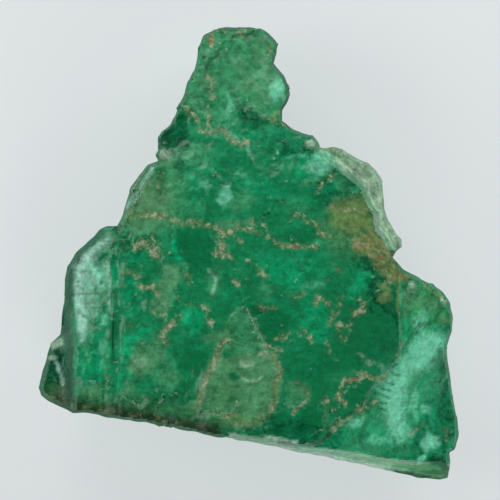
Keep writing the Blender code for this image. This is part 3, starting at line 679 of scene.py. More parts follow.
# Lines: half width, strength, then the points that they pass through
VEINS = (
    (0.045, 0.9, ((-2.98, 1.04), (-2.7, 0.93), (-2.42, 0.95), (-2.18, 0.92), (-1.82, 0.83),
        (-1.55, 0.72))),
    (0.055, 1.0, ((-1.45, 0.84), (-1.3, 0.76), (-1.16, 0.72), (-0.9, 0.66), (-0.6, 0.48), (-0.42, 0.52))),
    (0.04, 0.8, ((-0.42, 0.52), (-0.22, 0.66), (0.05, 0.56), (0.25, 0.5), (0.45, 0.46), (0.6, 0.3))),
    (0.05, 0.95, ((0.6, 0.3), (0.9, 0.18), (1.25, 0.2), (1.7, 0.14))),
    (0.04, 0.8, ((0.1, 0.82), (0.3, 0.72), (0.42, 0.62))),
    (0.045, 0.9, ((1.08, 0.9), (1.18, 0.98), (1.32, 0.96), (1.42, 0.84), (1.6, 0.76), (1.74, 0.64),
        (1.82, 0.48))),
    (0.04, 0.9, ((-1.05, 4.46), (-0.93, 4.34), (-0.88, 4.18), (-0.96, 4.02), (-0.86, 3.88))),
    (0.045, 0.95, ((-1.05, 3.74), (-1.0, 3.52), (-0.94, 3.38), (-1.0, 3.24))),
    (0.045, 0.85, ((-1.55, 3.62), (-1.36, 3.46), (-1.26, 3.3), (-1.22, 3.12), (-1.05, 3.0),
        (-0.86, 3.08))),
    (0.05, 1.0, ((-0.86, 3.08), (-0.62, 3.06), (-0.52, 2.94), (-0.4, 2.8), (-0.22, 2.72), (-0.05, 2.76))),
    (0.075, 1.0, ((-2.76, 0.18), (-2.62, 0.28), (-2.45, 0.28), (-2.36, 0.14), (-2.28, -0.04))),
    (0.045, 0.9, ((-2.45, 0.3), (-2.38, 0.42))),
    (0.05, 0.85, ((-3.1, -0.5), (-2.9, -0.48), (-2.78, -0.56))),
    (0.05, 0.95, ((-2.72, -0.8), (-2.62, -0.86), (-2.45, -0.8), (-2.32, -0.85), (-2.26, -1.0))),
    (0.035, 0.8, ((-2.44, -1.22), (-2.36, -1.42), (-2.2, -1.56), (-2.06, -1.5))),
    (0.06, 0.95, ((-1.76, -1.6), (-1.92, -1.78), (-2.05, -1.86), (-2.18, -2.04), (-2.06, -2.16))),
    (0.06, 1.0, ((-0.7, 0.26), (-0.66, 0.1), (-0.8, 0.0), (-0.66, -0.04), (-0.5, -0.04), (-0.44, -0.1))),
    (0.05, 0.9, ((-0.26, 0.32), (-0.15, 0.24))),
    (0.06, 1.0, ((0.26, -0.44), (0.34, -0.5), (0.42, -0.57))),
    (0.035, 0.75, ((0.0, -0.18), (0.1, -0.26), (0.18, -0.3))),
    (0.04, 0.9, ((-1.2, -1.32), (-1.04, -1.36), (-0.99, -1.56), (-0.94, -1.74))),
    (0.03, 0.65, ((-1.8, -1.05), (-1.62, -1.2), (-1.4, -1.28), (-1.2, -1.32))),
    (0.045, 0.8, ((-1.52, -0.54), (-1.45, -0.6), (-1.47, -0.7))),
    (0.05, 0.9, ((-0.34, -0.7), (-0.24, -0.78))),
    (0.045, 0.8, ((-0.62, -2.18), (-0.74, -2.36), (-0.82, -2.56), (-0.86, -2.8), (-1.02, -2.98))),
    (0.05, 0.85, ((-1.02, -2.98), (-1.08, -3.2), (-1.2, -3.44), (-1.16, -3.66), (-1.3, -3.88))),
    (0.045, 0.75, ((0.3, -2.46), (0.56, -2.5), (0.74, -2.74), (0.8, -2.94), (0.66, -3.14),
        (0.64, -3.34))),
    (0.055, 0.72, ((0.64, -3.34), (0.7, -3.54), (0.58, -3.84), (0.4, -4.06), (0.14, -4.24))),
    (0.045, 0.62, ((-0.9, -3.9), (-0.62, -4.02), (-0.3, -4.2), (0.02, -4.36))),
    (0.04, 0.5, ((-0.72, -2.6), (-0.4, -2.62), (-0.1, -2.58), (0.14, -2.52))),
    (0.05, 0.8, ((-0.58, -2.14), (-0.46, -2.2), (-0.42, -2.28))),
    (0.045, 0.8, ((0.45, -2.3), (0.66, -2.4), (0.84, -2.44))),
    (0.05, 0.9, ((1.66, -1.2), (1.74, -1.08), (1.9, -1.14), (1.98, -1.24))),
    (0.045, 0.85, ((2.32, -1.04), (2.28, -1.26), (2.2, -1.46))),
    (0.045, 0.95, ((2.76, -1.16), (2.88, -1.26), (2.84, -1.42), (2.64, -1.52))),
    (0.04, 0.85, ((2.04, -1.42), (2.08, -1.6), (2.02, -1.74))),
    (0.045, 0.95, ((2.22, -1.78), (2.38, -1.82), (2.54, -1.74))),
    (0.045, 0.8, ((2.28, -1.92), (2.34, -2.1), (2.42, -2.04))),
    (0.045, 0.8, ((1.3, -1.94), (1.4, -1.94), (1.48, -2.06), (1.58, -2.16))),
    (0.035, 0.8, ((1.98, -2.18), (2.0, -2.32), (2.02, -2.46))),
    (0.04, 0.8, ((0.62, -2.14), (0.84, -2.08), (1.02, -2.0))),
    (0.04, 0.75, ((0.26, -1.32), (0.4, -1.38), (0.66, -1.36))),
    (0.045, 0.7, ((1.12, -1.16), (1.22, -1.06), (1.34, -1.02))),
    (0.045, 1.0, ((3.44, -3.05), (3.24, -3.14), (3.04, -3.07), (2.88, -3.0), (2.76, -3.08),
        (2.6, -3.16))),
    (0.042, 1.0, ((2.6, -3.14), (2.4, -3.16), (2.28, -3.3), (2.22, -3.52), (2.3, -3.66), (2.4, -3.74))),
    (0.055, 0.95, ((1.9, -3.62), (1.98, -3.72), (2.1, -3.84))),
    (0.035, 0.8, ((1.2, -3.18), (1.38, -3.32), (1.5, -3.56), (1.4, -3.68), (1.22, -3.8), (1.12, -3.96))),
    (0.04, 0.85, ((3.8, -2.2), (3.75, -2.4), (3.74, -2.58))),
    (0.07, 0.85, ((3.14, -3.72), (2.95, -3.82), (2.8, -3.92))),
    (0.06, 0.9, ((2.52, -4.1), (2.3, -4.18), (2.14, -4.32))),
    (0.035, 0.9, ((4.08, -4.46), (4.22, -4.38), (4.36, -4.28))),
    (0.04, 0.85, ((2.02, 1.16), (2.2, 1.12), (2.42, 1.14), (2.66, 1.08), (2.85, 1.12))),
    (0.045, 0.85, ((1.74, 1.56), (1.82, 1.72), (1.94, 1.84), (2.1, 1.94))),
    (0.035, 0.6, ((1.88, 0.48), (2.12, 0.44), (2.4, 0.38))),
    (0.045, 0.85, ((2.62, 0.22), (2.9, 0.26), (3.2, 0.1), (3.46, -0.06))),
    (0.055, 0.9, ((3.05, -0.05), (3.28, -0.22), (3.42, -0.44), (3.46, -0.66))),
    (0.06, 0.25, ((-4.9, -3.58), (-4.5, -3.7), (-4.0, -3.84), (-3.4, -3.95), (-2.6, -4.02))),
    (0.06, 0.25, ((-2.6, -4.02), (-1.9, -4.16), (-1.3, -4.3), (-0.8, -4.4))),
    (0.045, 0.75, ((0.4, 3.4), (0.62, 3.28), (0.9, 3.2))),
    (0.04, 0.7, ((2.18, -0.3), (2.28, -0.44))),
    (0.035, 0.6, ((-2.15, 2.05), (-2.18, 1.8), (-2.24, 1.6))),
    (0.04, 0.65, ((4.86, -4.4), (5.0, -4.5), (4.92, -4.66))),
)

# Thin lines of a tone: tone, half width, strength, points
LINES = (
    # Lines in the pale teal highlight tone are painted highlights along edges, cracks and striations
    ("painted_highlight", 0.035, 0.8, ((-2.36, 2.18), (-2.6, 1.85), (-2.85, 1.45), (-3.02, 1.16))),
    ("painted_highlight", 0.035, 0.55, ((-3.52, -0.25), (-3.44, -1.0), (-3.4, -1.6))),
    ("painted_highlight", 0.035, 0.8, ((-4.8, -2.72), (-4.7, -3.0), (-4.64, -3.25))),
    # a painted highlight along the arc on the square lump
    ("pale", 0.018, 0.5, ((-0.16, -3.08), (-0.02, -3.17), (0.2, -3.17), (0.32, -3.06))),
    ("painted_highlight", 0.02, 0.3, ((-3.2, -1.8), (-3.2, -2.6))),
    ("painted_highlight", 0.018, 0.6, ((-0.7, 1.72), (-0.58, 1.68), (-0.45, 1.7))),
    ("pale", 0.02, 0.45, ((-0.06, -1.36), (0.12, -1.7), (0.28, -2.0), (0.42, -2.3))),
    ("khaki", 0.07, 0.5, ((-0.62, -2.18), (-0.82, -2.56), (-1.02, -2.98), (-1.08, -3.2), (-1.2, -3.6))),
    ("olive", 0.08, 0.55, ((0.62, -2.5), (0.78, -2.9), (0.66, -3.2), (0.7, -3.54), (0.5, -3.94),
        (0.14, -4.24))),
    ("painted_highlight", 0.03, 0.95, ((0.5, -4.55), (0.85, -4.62), (1.2, -4.69))),
    ("pale", 0.04, 0.6, ((0.42, -4.56), (0.7, -4.61), (0.92, -4.65))),
    ("painted_highlight", 0.03, 0.45, ((-0.98, -0.4), (-0.8, -0.64), (-0.9, -1.0))),
    ("dark", 0.035, 0.95, ((0.75, -4.7), (1.15, -4.77), (1.5, -4.77), (1.78, -4.68), (2.02, -4.5),
        (2.16, -4.32))),
    ("dark", 0.024, 0.55, ((4.28, -1.72), (4.12, -1.92), (4.02, -2.1), (3.88, -2.32))),
    ("dark", 0.015, 0.55, ((-4.42, -1.04), (-4.05, -1.0), (-3.6, -1.02))),
    ("dark", 0.012, 0.45, ((-3.96, -1.34), (-3.5, -1.34))),
    ("dark", 0.012, 0.45, ((-4.0, -1.44), (-3.52, -1.45))),
    ("dark", 0.02, 0.5, ((-4.95, -3.46), (-4.4, -3.58), (-3.8, -3.74), (-3.2, -3.84))),
    ("dark", 0.018, 0.6, ((-0.72, 1.76), (-0.58, 1.72), (-0.44, 1.74))),
    ("dark", 0.025, 0.55, ((2.6, 1.95), (2.78, 1.8), (2.92, 1.58))),
    ("dark", 0.03, 0.6, ((2.9, -3.62), (2.7, -3.88), (2.4, -4.04))),
    ("brown", 0.03, 0.45, ((0.6, -4.8), (1.6, -4.92), (2.6, -5.06), (3.6, -5.22), (4.6, -5.36))),
    ("painted_highlight", 0.025, 0.65, ((0.8, -4.84), (1.8, -4.98), (2.8, -5.2), (3.8, -5.4), (4.8, -5.58))),
    ("painted_highlight", 0.02, 0.6, ((1.4, -4.86), (2.2, -4.93), (3.0, -5.06))),
    ("brown", 0.025, 0.4, ((1.9, -5.04), (2.9, -5.28), (3.9, -5.46))),
    ("lime", 0.06, 0.6, ((2.4, -5.04), (3.2, -5.2), (4.1, -5.34), (4.7, -5.4))),
    ("bright", 0.05, 0.5, ((1.2, -4.82), (1.8, -4.92), (2.4, -5.04))),
    ("pale", 0.024, 0.6, ((0.9, -4.86), (1.7, -5.0), (2.6, -5.19), (3.4, -5.38))),
    ("khaki", 0.3, 0.25, ((-4.7, -3.6), (-4.3, -3.7), (-3.6, -3.8), (-2.5, -3.98), (-0.9, -4.28))),
    ("shaded", 0.17, 0.95, ((-4.7, -3.74), (-4.3, -3.86), (-3.6, -3.96), (-2.5, -4.14), (-0.9, -4.42))),
    ("olive", 0.16, 0.35, ((-5.0, -3.58), (-4.4, -3.76), (-3.6, -3.9), (-2.5, -4.06), (-1.0, -4.36))),
    ("deep", 0.02, 0.7, ((3.22, -3.28), (3.36, -3.38), (3.52, -3.42))),
    ("deep", 0.02, 0.7, ((3.14, -3.46), (3.3, -3.52), (3.5, -3.6))),
    ("deep", 0.02, 0.7, ((3.08, -3.6), (3.24, -3.7), (3.44, -3.74))),
    ("deep", 0.022, 0.7, ((3.02, -3.76), (3.2, -3.82), (3.4, -3.9))),
    ("deep", 0.018, 0.65, ((3.34, -3.12), (3.46, -3.22), (3.6, -3.26))),
    ("deep", 0.018, 0.65, ((3.52, -2.94), (3.64, -3.02), (3.76, -3.04))),
    ("dark", 0.016, 0.45, ((4.22, -1.6), (4.1, -1.72), (3.98, -1.92))),
    ("dark", 0.016, 0.55, ((4.36, -1.74), (4.24, -1.88), (4.16, -2.02))),
    # painted shade along the column's steep left flank and the wall below it
    ("painted_shade", 0.11, 0.85, ((-4.58, -2.0), (-4.5, -1.2), (-4.46, -0.3), (-4.2, 0.06), (-3.72, 0.56))),
    ("painted_shade", 0.08, 0.95, ((-4.54, -1.92), (-4.47, -2.4), (-4.45, -2.9), (-4.43, -3.4), (-4.42, -3.8))),
)

# Small spots: x, y, radius
RUST_SPOTS = (
    (-3.12, 0.3, 0.08), (-2.95, -1.78, 0.07), (0.2, 0.5, 0.06), (-0.76, -0.3, 0.06), (-0.85, 0.36, 0.05),
    (1.16, 0.17, 0.08), (1.45, 0.16, 0.06), (-1.0, 5.3, 0.07), (2.3, -1.34, 0.06), (2.62, -3.12, 0.1),
    (0.63, -3.34, 0.06), (-1.06, -3.02, 0.07), (-0.5, -4.0, 0.06), (2.26, -0.42, 0.07),
    (3.26, -0.12, 0.08), (4.92, -4.45, 0.05), (4.98, -4.62, 0.06), (-0.62, 2.62, 0.05),
    (-1.28, 3.38, 0.07), (-2.02, -1.84, 0.06), (-1.0, -1.5, 0.06), (1.98, -0.66, 0.04),
    (2.62, -0.62, 0.05), (-3.12, -0.82, 0.06), (-2.58, -1.78, 0.05), (2.46, -3.18, 0.07),
    (3.0, -3.86, 0.05), (-3.02, 0.14, 0.05), (-1.2, -3.48, 0.06), (0.12, 4.28, 0.05),
)
FLECKS = (
    (0.25, 2.67, 0.05), (0.94, 1.8, 0.055), (0.34, 1.76, 0.045), (0.72, 2.52, 0.04), (0.65, 2.35, 0.035),
    (-1.57, 2.27, 0.035), (1.95, -0.25, 0.05), (-0.88, -1.83, 0.06), (-0.28, -3.68, 0.06),
    (0.23, 0.35, 0.05), (0.25, 0.18, 0.045), (0.64, 0.24, 0.05), (-0.92, 0.42, 0.05), (-0.2, -0.78, 0.06),
    (2.2, -2.66, 0.05), (2.7, -3.78, 0.045), (-0.57, 5.1, 0.04), (-0.72, 5.23, 0.035), (1.3, 0.22, 0.05),
    (-2.65, -0.86, 0.055), (-0.78, -3.88, 0.05), (1.55, -2.87, 0.03), (2.98, -2.8, 0.04),
    (3.05, -3.3, 0.04), (2.14, -0.6, 0.045), (2.28, -0.74, 0.045), (0.44, -0.28, 0.03), (1.9, 1.32, 0.03),
    (-0.02, 3.84, 0.045), (-0.1, 3.95, 0.04), (2.72, -4.66, 0.05), (-1.44, 1.12, 0.03),
    (2.55, -1.76, 0.04), (1.26, -1.06, 0.04), (-1.95, 0.02, 0.04),
)


def linear(eight_bit):
    """A colour given as eight-bit values, in the linear scale that shaders use."""
    share = np.array(eight_bit) / 255.0
    return np.where(share <= 0.04045, share / 12.92, ((share + 0.055) / 1.055) ** 2.4)


def warped(points, size, amount, seed):
    """Plan points pushed about by noise, so that a mask read there gets a ragged edge."""
    moves = [noise.noise_vector(Vector((x / size, y / size, seed))).xy for x, y in points]
    return points + amount * np.array(moves)


def distance_to_line(points, line):
    """Distance of each point to the nearest stretch of an open line."""
    nearest = np.full(len(points), np.inf)
    corners = np.array(line)
    for start, end in zip(corners[:-1], corners[1:]):
        nearest = np.minimum(nearest, stretch_distance(points, start, end))
    return nearest


def patch_mask(points, x, y, half_length, half_width, turn):
    """1 in the middle of a turned ellipse, fading to 0 a little outside it."""
    angle = np.radians(turn)
    across = points - (x, y)
    along = across @ (np.cos(angle), np.sin(angle)) / half_length
    over = across @ (-np.sin(angle), np.cos(angle)) / half_width
    return ramp(1.0 - np.hypot(along, over), 0.9)


class Paint:
    """Tone, cloudiness and stains at each vertex, painted in layers."""

    def __init__(self, count, tone):
        colour, cloud = TONES[tone]
        self.colour = np.tile(linear(colour), (count, 1))
        self.cloud = np.full(count, cloud)
        self.stains = {name: np.zeros(count) for name in STAINS}

    def layer(self, mask, tone):
        if tone in STAINS:
            self.stains[tone] = np.maximum(self.stains[tone], mask)
            return
        colour, cloud = TONES[tone]
        self.colour += mask[:, None] * (linear(colour) - self.colour)
        self.cloud += mask * (cloud - self.cloud)


def front_paint(points):
    """The front's regions, patches and thin lines."""
    ragged = warped(warped(points, 0.42, 0.16, 1.0), 0.13, 0.07, 2.0)
    close = warped(points, 0.12, 0.035, 3.0)
    paint = Paint(len(points), "main")
    for outline, tone, softness, strength in REGIONS:
        at = points if softness < CRISP else close
        paint.layer(strength * ramp(signed_distance(at, outline), softness), tone)
    for tone, places in PATCHES.items():
        for x, y, half_length, half_width, turn, strength in places:
            at = close if min(half_length, half_width) < 0.10 else ragged
            paint.layer(strength * patch_mask(at, x, y, half_length, half_width, turn), tone)
    bent = warped(points, 0.5, 0.05, 4.0)
    for tone, strength, corners in FACETS:
        paint.layer(strength * ramp(signed_distance(bent, corners), FACET_EDGE), tone)
    for tone, half_width, strength, line in LINES:
        at = points if half_width < CRISP else close
        reach = ramp(1.3 * half_width - distance_to_line(at, line), 1.6 * half_width)
        paint.layer(strength * reach, tone)
    return paint


def spot_mask(points, spots):
    """1 on small round spots, 0 away from them."""
    mask = np.zeros(len(points))
    for x, y, radius in spots:
        mask = np.maximum(mask, ramp(radius - np.hypot(*(points - (x, y)).T), 1.4 * radius))
    return mask


def vein_mask(points):
    """1 along the middle of the front's veins, falling straight to 0 well past their width."""
    mask = np.zeros(len(points))
    for half_width, strength, line in VEINS:
        reach = np.clip(1.0 - distance_to_line(points, line) / (VEIN_SPREAD * half_width), 0.0, 1.0)
        mask = np.maximum(mask, strength * reach)
    return mask


def side_paint(places):
    """Tones for the sides and the back: soft bands and patches through the whole body."""
    paint = Paint(len(places), "deep")
    layers = (
        ("main", 0.9, 11.0, 0.80, 0.22), ("bright", 0.7, 23.0, 0.80, 0.22), ("soft", 0.8, 37.0, 0.60, 0.25),
        ("olive", 1.1, 71.0, 0.45, 0.38), ("brown", 0.6, 91.0, 0.45, 0.42),
    )
    for tone, size, seed, strength, start in layers:
        shift = Vector((seed, 0.0, 0.0))
        field = [noise.fractal(Vector(place) / size + shift, 0.8, 2.0, 4) for place in places]
        paint.layer(strength * ramp(np.array(field) - start, 0.30), tone)
    return paint


def side_veins(places):
    """Veins on the sides and the back, where a noise field passes through zero."""
    field = [noise.fractal(Vector(place) / 1.3 + Vector((5.0, 9.0, 2.0)), 0.7, 2.0, 3) for place in places]
    gate = [noise.noise(Vector(place) / 1.1 + Vector((0.0, 40.0, 0.0))) for place in places]
    return ramp(0.035 - np.abs(np.array(field)), 0.05) * ramp(np.array(gate), 0.3)


def write_attribute(mesh, name, values):
    """Store one number, or one colour, for each vertex."""
    if values.ndim == 2:
        attribute = mesh.attributes.new(name, "FLOAT_COLOR", "POINT")
        opaque = np.column_stack([values, np.ones(len(values))])
        attribute.data.foreach_set("color", opaque.astype(np.float32).ravel())
    else:
        attribute = mesh.attributes.new(name, "FLOAT", "POINT")
        attribute.data.foreach_set("value", values.astype(np.float32))


def paint_crystal(mesh):
    """Give the mesh its tone, cloud, vein, rust and fleck attributes, in plan millimetres."""
    places = np.array([vert.co for vert in mesh.vertices])
    normals = np.array([vert.normal for vert in mesh.vertices])
    points = places[:, :2]
    rims = rim_values(points)[0]
    above = ramp(places[:, 2] - rims + 0.15, 0.3)
    facing = ramp(normals[:, 2] - 0.14, 0.20) * above
    bottom = ramp(signed_distance(points, BOTTOM_FACE), 0.08)
    near_edge = ramp(0.22 - signed_distance(points, OUTLINE), 0.16)
    rim = np.maximum(near_edge, ramp(COLUMN_FLANK - points[:, 0], 0.20))
    # Steep faces near the outline get painted shade, darker than the front, and are rougher too
    shaded_brink = (1.0 - ramp(normals[:, 2] - 0.35, 0.40)) * above * (1.0 - bottom) * rim

    front = front_paint(points)
    front.layer(0.60 * shaded_brink, "shaded_brink")
    side = side_paint(places)
    side.layer(0.75 * shaded_brink, "shaded_brink")
    side.layer(0.9 * ramp(signed_distance(points, THIN_SHEET) + 0.05, 0.40), "window")
    close = warped(points, 0.12, 0.030, 3.0)
    tone = side.colour + facing[:, None] * (front.colour - side.colour)
    write_attribute(mesh, "tone", tone)
    write_attribute(mesh, "cloud", side.cloud + facing * (front.cloud - side.cloud))
    for name in ("olive", "brown"):
        stain = side.stains[name] * (1.0 - facing) + front.stains[name] * facing
        write_attribute(mesh, name, stain)
    write_attribute(mesh, "shaded_brink", shaded_brink)
    veins = np.maximum(vein_mask(close), 0.85 * front.stains["tan"])
    write_attribute(mesh, "vein", side_veins(places) * (1.0 - facing) + veins * facing)
    write_attribute(mesh, "rust", spot_mask(close, RUST_SPOTS) * facing)
    write_attribute(mesh, "fleck", spot_mask(close, FLECKS) * facing)


def crystal_piece():
    """The crystal's mesh, sculpted and painted in millimetres and fitted to its solid."""
    bm = trimmed_grid()
    sculpt(bm)
    bmesh.ops.recalc_face_normals(bm, faces=bm.faces)
    chip_sides(bm)
    cut_flat(bm)
    mesh = bpy.data.meshes.new("emerald_crystal")
    bm.to_mesh(mesh)
    bm.free()
    paint_crystal(mesh)

    low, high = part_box("emerald")
    corners = np.array([vert.co for vert in mesh.vertices])
    middle = 0.5 * (corners.min(axis=0) + corners.max(axis=0)) * MM
    shift = 0.5 * (low + high) - Vector(middle)
    shift.z = low.z - corners[:, 2].min() * MM
    bm = bmesh.new()
    bm.from_mesh(mesh)
    bmesh.ops.scale(bm, vec=(MM, MM, MM), verts=bm.verts)
    bmesh.ops.translate(bm, vec=shift, verts=bm.verts)
    bm.to_mesh(mesh)
    bm.free()
    mesh.shade_smooth()
    mesh.set_sharp_from_angle(angle=SHARP_ANGLE)
    piece = bpy.data.objects.new("emerald_crystal", mesh)
    bpy.context.scene.collection.objects.link(piece)
    return piece


class Wire:
    """A shader socket whose arithmetic adds Math nodes to its graph."""

    def __init__(self, graph, socket):
        self.graph = graph
        self.socket = socket

    def math(self, operation, *values):
        return self.graph.node("ShaderNodeMath", {"operation": operation}, dict(enumerate(values)))

    def __add__(self, other):
        return self.math("ADD", self, other)

    def __radd__(self, other):
        return self.math("ADD", other, self)

    def __sub__(self, other):
        return self.math("SUBTRACT", self, other)

    def __rsub__(self, other):
        return self.math("SUBTRACT", other, self)

    def __mul__(self, other):
        return self.math("MULTIPLY", self, other)

    def __rmul__(self, other):
        return self.math("MULTIPLY", other, self)

    def clipped(self, low, high):
        """0 below the low value, 1 above the high one, and smooth between."""
        settings = {"interpolation_type": "SMOOTHSTEP"}
        values = {"Value": self, "From Min": low, "From Max": high}
        return self.graph.node("ShaderNodeMapRange", settings, values)

class Graph:
    """The node graph of one material, world or light."""

    def __init__(self, tree):
        self.tree = tree
        tree.nodes.clear()

    def node(self, kind, settings=None, sockets=None, output=0):
        """Add a node: its settings first, then the value or the link of each socket."""
        node = self.tree.nodes.new(kind)
        for name, value in (settings or {}).items():
            setattr(node, name, value)
        for name, value in (sockets or {}).items():
            if isinstance(value, Wire):
                self.tree.links.new(value.socket, node.inputs[name])
            else:
                node.inputs[name].default_value = value
        return Wire(self, node.outputs[output]) if node.outputs else node

    def attribute(self, name, output="Fac"):
        return self.node("ShaderNodeAttribute", {"attribute_name": name}, output=output)

    def grain(self, size, detail=3.0, roughness=0.6, seed=0.0, stretch=(1.0, 1.0, 1.0), turn=0.0):
        """Noise about zero, whose lumps are about this many millimetres across."""
        place = self.node("ShaderNodeTexCoord", output="Object")
        turned = self.node("ShaderNodeMapping", {"vector_type": "TEXTURE"},
                           {"Vector": place, "Rotation": (0.0, 0.0, turn), "Scale": stretch})
        scale = 0.5 / (size * MM)
        values = {"Vector": turned, "W": seed, "Scale": scale, "Detail": detail, "Roughness": roughness}
        return self.node("ShaderNodeTexNoise", {"noise_dimensions": "4D"}, values, output="Fac") - 0.5

    def broken(self, mask, grains, low, high):
        """A mask broken up by grains wherever it isn't zero."""
        return (mask + grains * mask.clipped(0.0, 0.25)).clipped(low, high)

    def mix(self, share, first, second):
        """A colour between two others; sockets 6 and 7 are the mix's colours."""
        values = {"Factor": share, 6: first, 7: second}
        return self.node("ShaderNodeMix", {"data_type": "RGBA"}, values, output=2)


def colour(eight_bit):
    return (*linear(eight_bit), 1.0)


CRYSTAL_IOR = 1.58
ABSORPTION_PER_METRE = 900.0


def emerald_material():
    """Green crystal: clear where it is deep, cloudy where it is crazed, with veins and stains."""
    material = bpy.data.materials.new("raw emerald")
    material.use_nodes = True
    graph = Graph(material.node_tree)

    tone = graph.attribute("tone", "Color")
    cloud = graph.attribute("cloud")
    broad = graph.grain(0.50, 3.0)
    middle = graph.grain(0.16, 3.0, 0.6)
    close = graph.grain(0.070, 2.0, 0.6, 5.0)
    fine = graph.grain(0.028, 2.0, 0.7, 9.0)
    dashes = graph.grain(0.050, 2.0, 0.6, 13.0, stretch=(2.6, 0.8, 1.0))

    # Uneven depth of colour, at several sizes
    calm = cloud.clipped(0.82, 0.96) * 0.6
    unevenness = 1.33 + (1.1 * broad + 1.3 * middle + 2.1 * close + 1.7 * fine + 1.4 * dashes) * (1.0 - calm)
    scale = graph.node("ShaderNodeCombineXYZ", {}, {0: unevenness, 1: unevenness, 2: unevenness})
    body = graph.node("ShaderNodeVectorMath", {"operation": "MULTIPLY"}, {0: tone, 1: scale})

    # Pale crazing: narrow bands where a noise field crosses its middle
    crazing = graph.grain(0.20, 3.0, 0.55, 17.0)
    craze = (1.0 - crazing.math("ABSOLUTE", crazing).clipped(0.0, 0.020)) * middle.clipped(0.02, 0.18)
    body = graph.mix(craze * 0.30, body, colour((64, 180, 130)))
    pits = graph.grain(0.045, 1.0, 0.5, 21.0).clipped(0.20, 0.26)
    glints = graph.grain(0.035, 1.0, 0.5, 25.0).clipped(0.20, 0.27)
    body = graph.mix(pits * 0.35, body, colour((10, 62, 40)))
    body = graph.mix(glints * 0.40, body, colour((72, 196, 146)))

    # Stains: grains of olive, brown and orange
    streaks = graph.grain(0.050, 3.0, 0.6, 45.0, stretch=(3.2, 0.8, 1.0), turn=-0.55)
    olive = (1.6 * graph.attribute("olive") + 1.0 * middle + 0.8 * close).clipped(0.40, 1.50)
    brown = (1.6 * graph.attribute("brown") + 1.0 * middle + 2.6 * streaks + fine).clipped(0.60, 1.50)
    olive_grains = (1.5 * close + 1.5 * fine + streaks).clipped(-0.6, 0.6)
    olive_colour = graph.mix(olive_grains, colour((110, 144, 76)), colour((150, 180, 110)))
    brown_grains = (1.5 * fine + 2.5 * streaks).clipped(-0.5, 0.5)
    brown_colour = graph.mix(brown_grains, colour((112, 108, 46)), colour((198, 182, 130)))
    body = graph.mix(olive * 0.85, body, olive_colour)
    body = graph.mix(brown * 0.85, body, brown_colour)

    # Veins: a dull halo, and a string of pale and brown specks along the middle
    line = graph.attribute("vein")
    specks = 1.2 * middle + 2.3 * close + 1.4 * fine
    halo = graph.broken(line, 1.6 * middle + 0.8 * close, 0.10, 0.95)
    vein = graph.broken(line, specks, 0.42, 1.20)
    grains = graph.grain(0.050, 3.0, 0.7, 33.0)
    vein_colour = graph.mix(grains.clipped(-0.16, 0.14), colour((92, 110, 62)), colour((204, 216, 176)))
    rust = graph.broken(graph.attribute("rust"), 0.7 * specks, 0.62, 1.10)
    fleck = graph.broken(graph.attribute("fleck"), 0.9 * specks, 0.60, 1.20)
    body = graph.mix(halo * 0.45, body, colour((98, 126, 78)))
    body = graph.mix(vein * 0.78, body, vein_colour)
    body = graph.mix(rust * 0.75, body, colour((136, 84, 58)))
    body = graph.mix(fleck * 0.75, body, colour((170, 202, 160)))

    grit = fine + close + 1.2 * middle
    bump = graph.node("ShaderNodeBump", {}, {"Strength": 0.14, "Distance": 0.00004, "Height": grit})
    roughness = 0.24 + 0.25 * middle + 0.10 * cloud + 0.3 * vein + 0.7 * graph.attribute("shaded_brink")
    clear = graph.node("ShaderNodeBsdfPrincipled", {}, {
        "Base Color": (0.75, 1.0, 0.88, 1.0), "Roughness": 0.15, "IOR": CRYSTAL_IOR,
        "Transmission Weight": 1.0, "Normal": bump,
    })
    cloudy = graph.node("ShaderNodeBsdfPrincipled", {}, {
        "Base Color": body, "Roughness": roughness, "IOR": CRYSTAL_IOR,
        "Specular IOR Level": 0.28, "Normal": bump,
    })
    opaque = (cloud + vein * 0.5 + rust * 0.5 + fleck * 0.3 + olive * 0.2 + middle).clipped(-0.1, 1.1)
    surface = graph.node("ShaderNodeMixShader", {}, {0: opaque, 1: clear, 2: cloudy})
    depth = graph.node("ShaderNodeVolumeAbsorption", {}, {
        "Color": (0.0, 0.73, 0.46, 1.0), "Density": ABSORPTION_PER_METRE,
    })
    graph.node("ShaderNodeOutputMaterial", {}, {"Surface": surface, "Volume": depth})
    return material


def floor_piece():
    """A wide pale table under the crystal, lit a little from within, as a light box is."""
    bm = bmesh.new()
    bmesh.ops.create_grid(bm, x_segments=1, y_segments=1, size=0.6)
    mesh = bpy.data.meshes.new("pale_floor")
    bm.to_mesh(mesh)
    bm.free()
    floor = bpy.data.objects.new("pale_floor", mesh)
    bpy.context.scene.collection.objects.link(floor)

    material = bpy.data.materials.new("pale floor")
    material.use_nodes = True
    graph = Graph(material.node_tree)
    surface = graph.node("ShaderNodeBsdfPrincipled", {}, {
        "Base Color": colour((168, 170, 171)), "Roughness": 0.9, "Specular IOR Level": 0.1,
        "Emission Color": colour((222, 227, 229)), "Emission Strength": 0.675,
    })
    graph.node("ShaderNodeOutputMaterial", {}, {"Surface": surface})
    mesh.materials.append(material)
    return floor


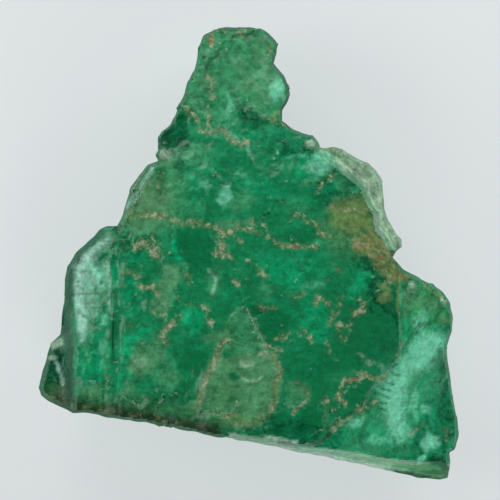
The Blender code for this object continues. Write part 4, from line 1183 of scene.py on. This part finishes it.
# The studio: millimetres and watts
CAMERA_PLACE = (0.025, 0.0875, 352.3)
CAMERA_LENS = 1008.0
CAMERA_CLIP = (10.0, 2000.0)
SOFTBOX_SIZE = 60.0
SOFTBOX_AIM = (0.0, 0.0, 2.0)
SOFTBOXES = (
    ("left softbox", (-76, 8, 44), 0.027),
    ("upper softbox", (-28, 76, 44), 0.029),
    ("right softbox", (56, 58, 46), 0.032),
    ("near softbox", (24, -80, 44), 0.030),
)


def soft_light(name, place, power):
    """A square area light that faces the crystal."""
    lamp = bpy.data.lights.new(name, "AREA")
    lamp.shape = "SQUARE"
    lamp.size = SOFTBOX_SIZE * MM
    lamp.energy = power
    light = bpy.data.objects.new(name, lamp)
    light.location = Vector(place) * MM
    light.rotation_euler = (Vector(SOFTBOX_AIM) - Vector(place)).to_track_quat("-Z", "Y").to_euler()
    bpy.context.scene.collection.objects.link(light)


def studio():
    """The camera straight above, the soft lights and the pale surroundings."""
    scene = bpy.context.scene
    scene.view_settings.view_transform = "Standard"
    view = bpy.data.cameras.new("camera")
    view.lens = CAMERA_LENS
    view.clip_start, view.clip_end = Vector(CAMERA_CLIP) * MM
    camera = bpy.data.objects.new("camera", view)
    camera.location = Vector(CAMERA_PLACE) * MM
    scene.collection.objects.link(camera)
    scene.camera = camera

    for name, place, power in SOFTBOXES:
        soft_light(name, place, power)

    world = bpy.data.worlds.new("pale room")
    scene.world = world
    world.use_nodes = True
    graph = Graph(world.node_tree)
    direction = graph.node("ShaderNodeTexCoord", output="Generated")
    up = graph.node("ShaderNodeSeparateXYZ", {}, {0: direction}, output=2)
    shade = graph.mix(up.clipped(0.05, 0.50), colour((222, 227, 229)), colour((20, 21, 22)))
    sky = graph.node("ShaderNodeBackground", {}, {"Color": shade, "Strength": 0.45})
    graph.node("ShaderNodeOutputWorld", {}, {"Surface": sky})


noise.seed_set(NOISE_SEED)
studio()
floor = floor_piece()
crystal = crystal_piece()
crystal.data.materials.append(emerald_material())
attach(crystal, "root")
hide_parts("emerald")
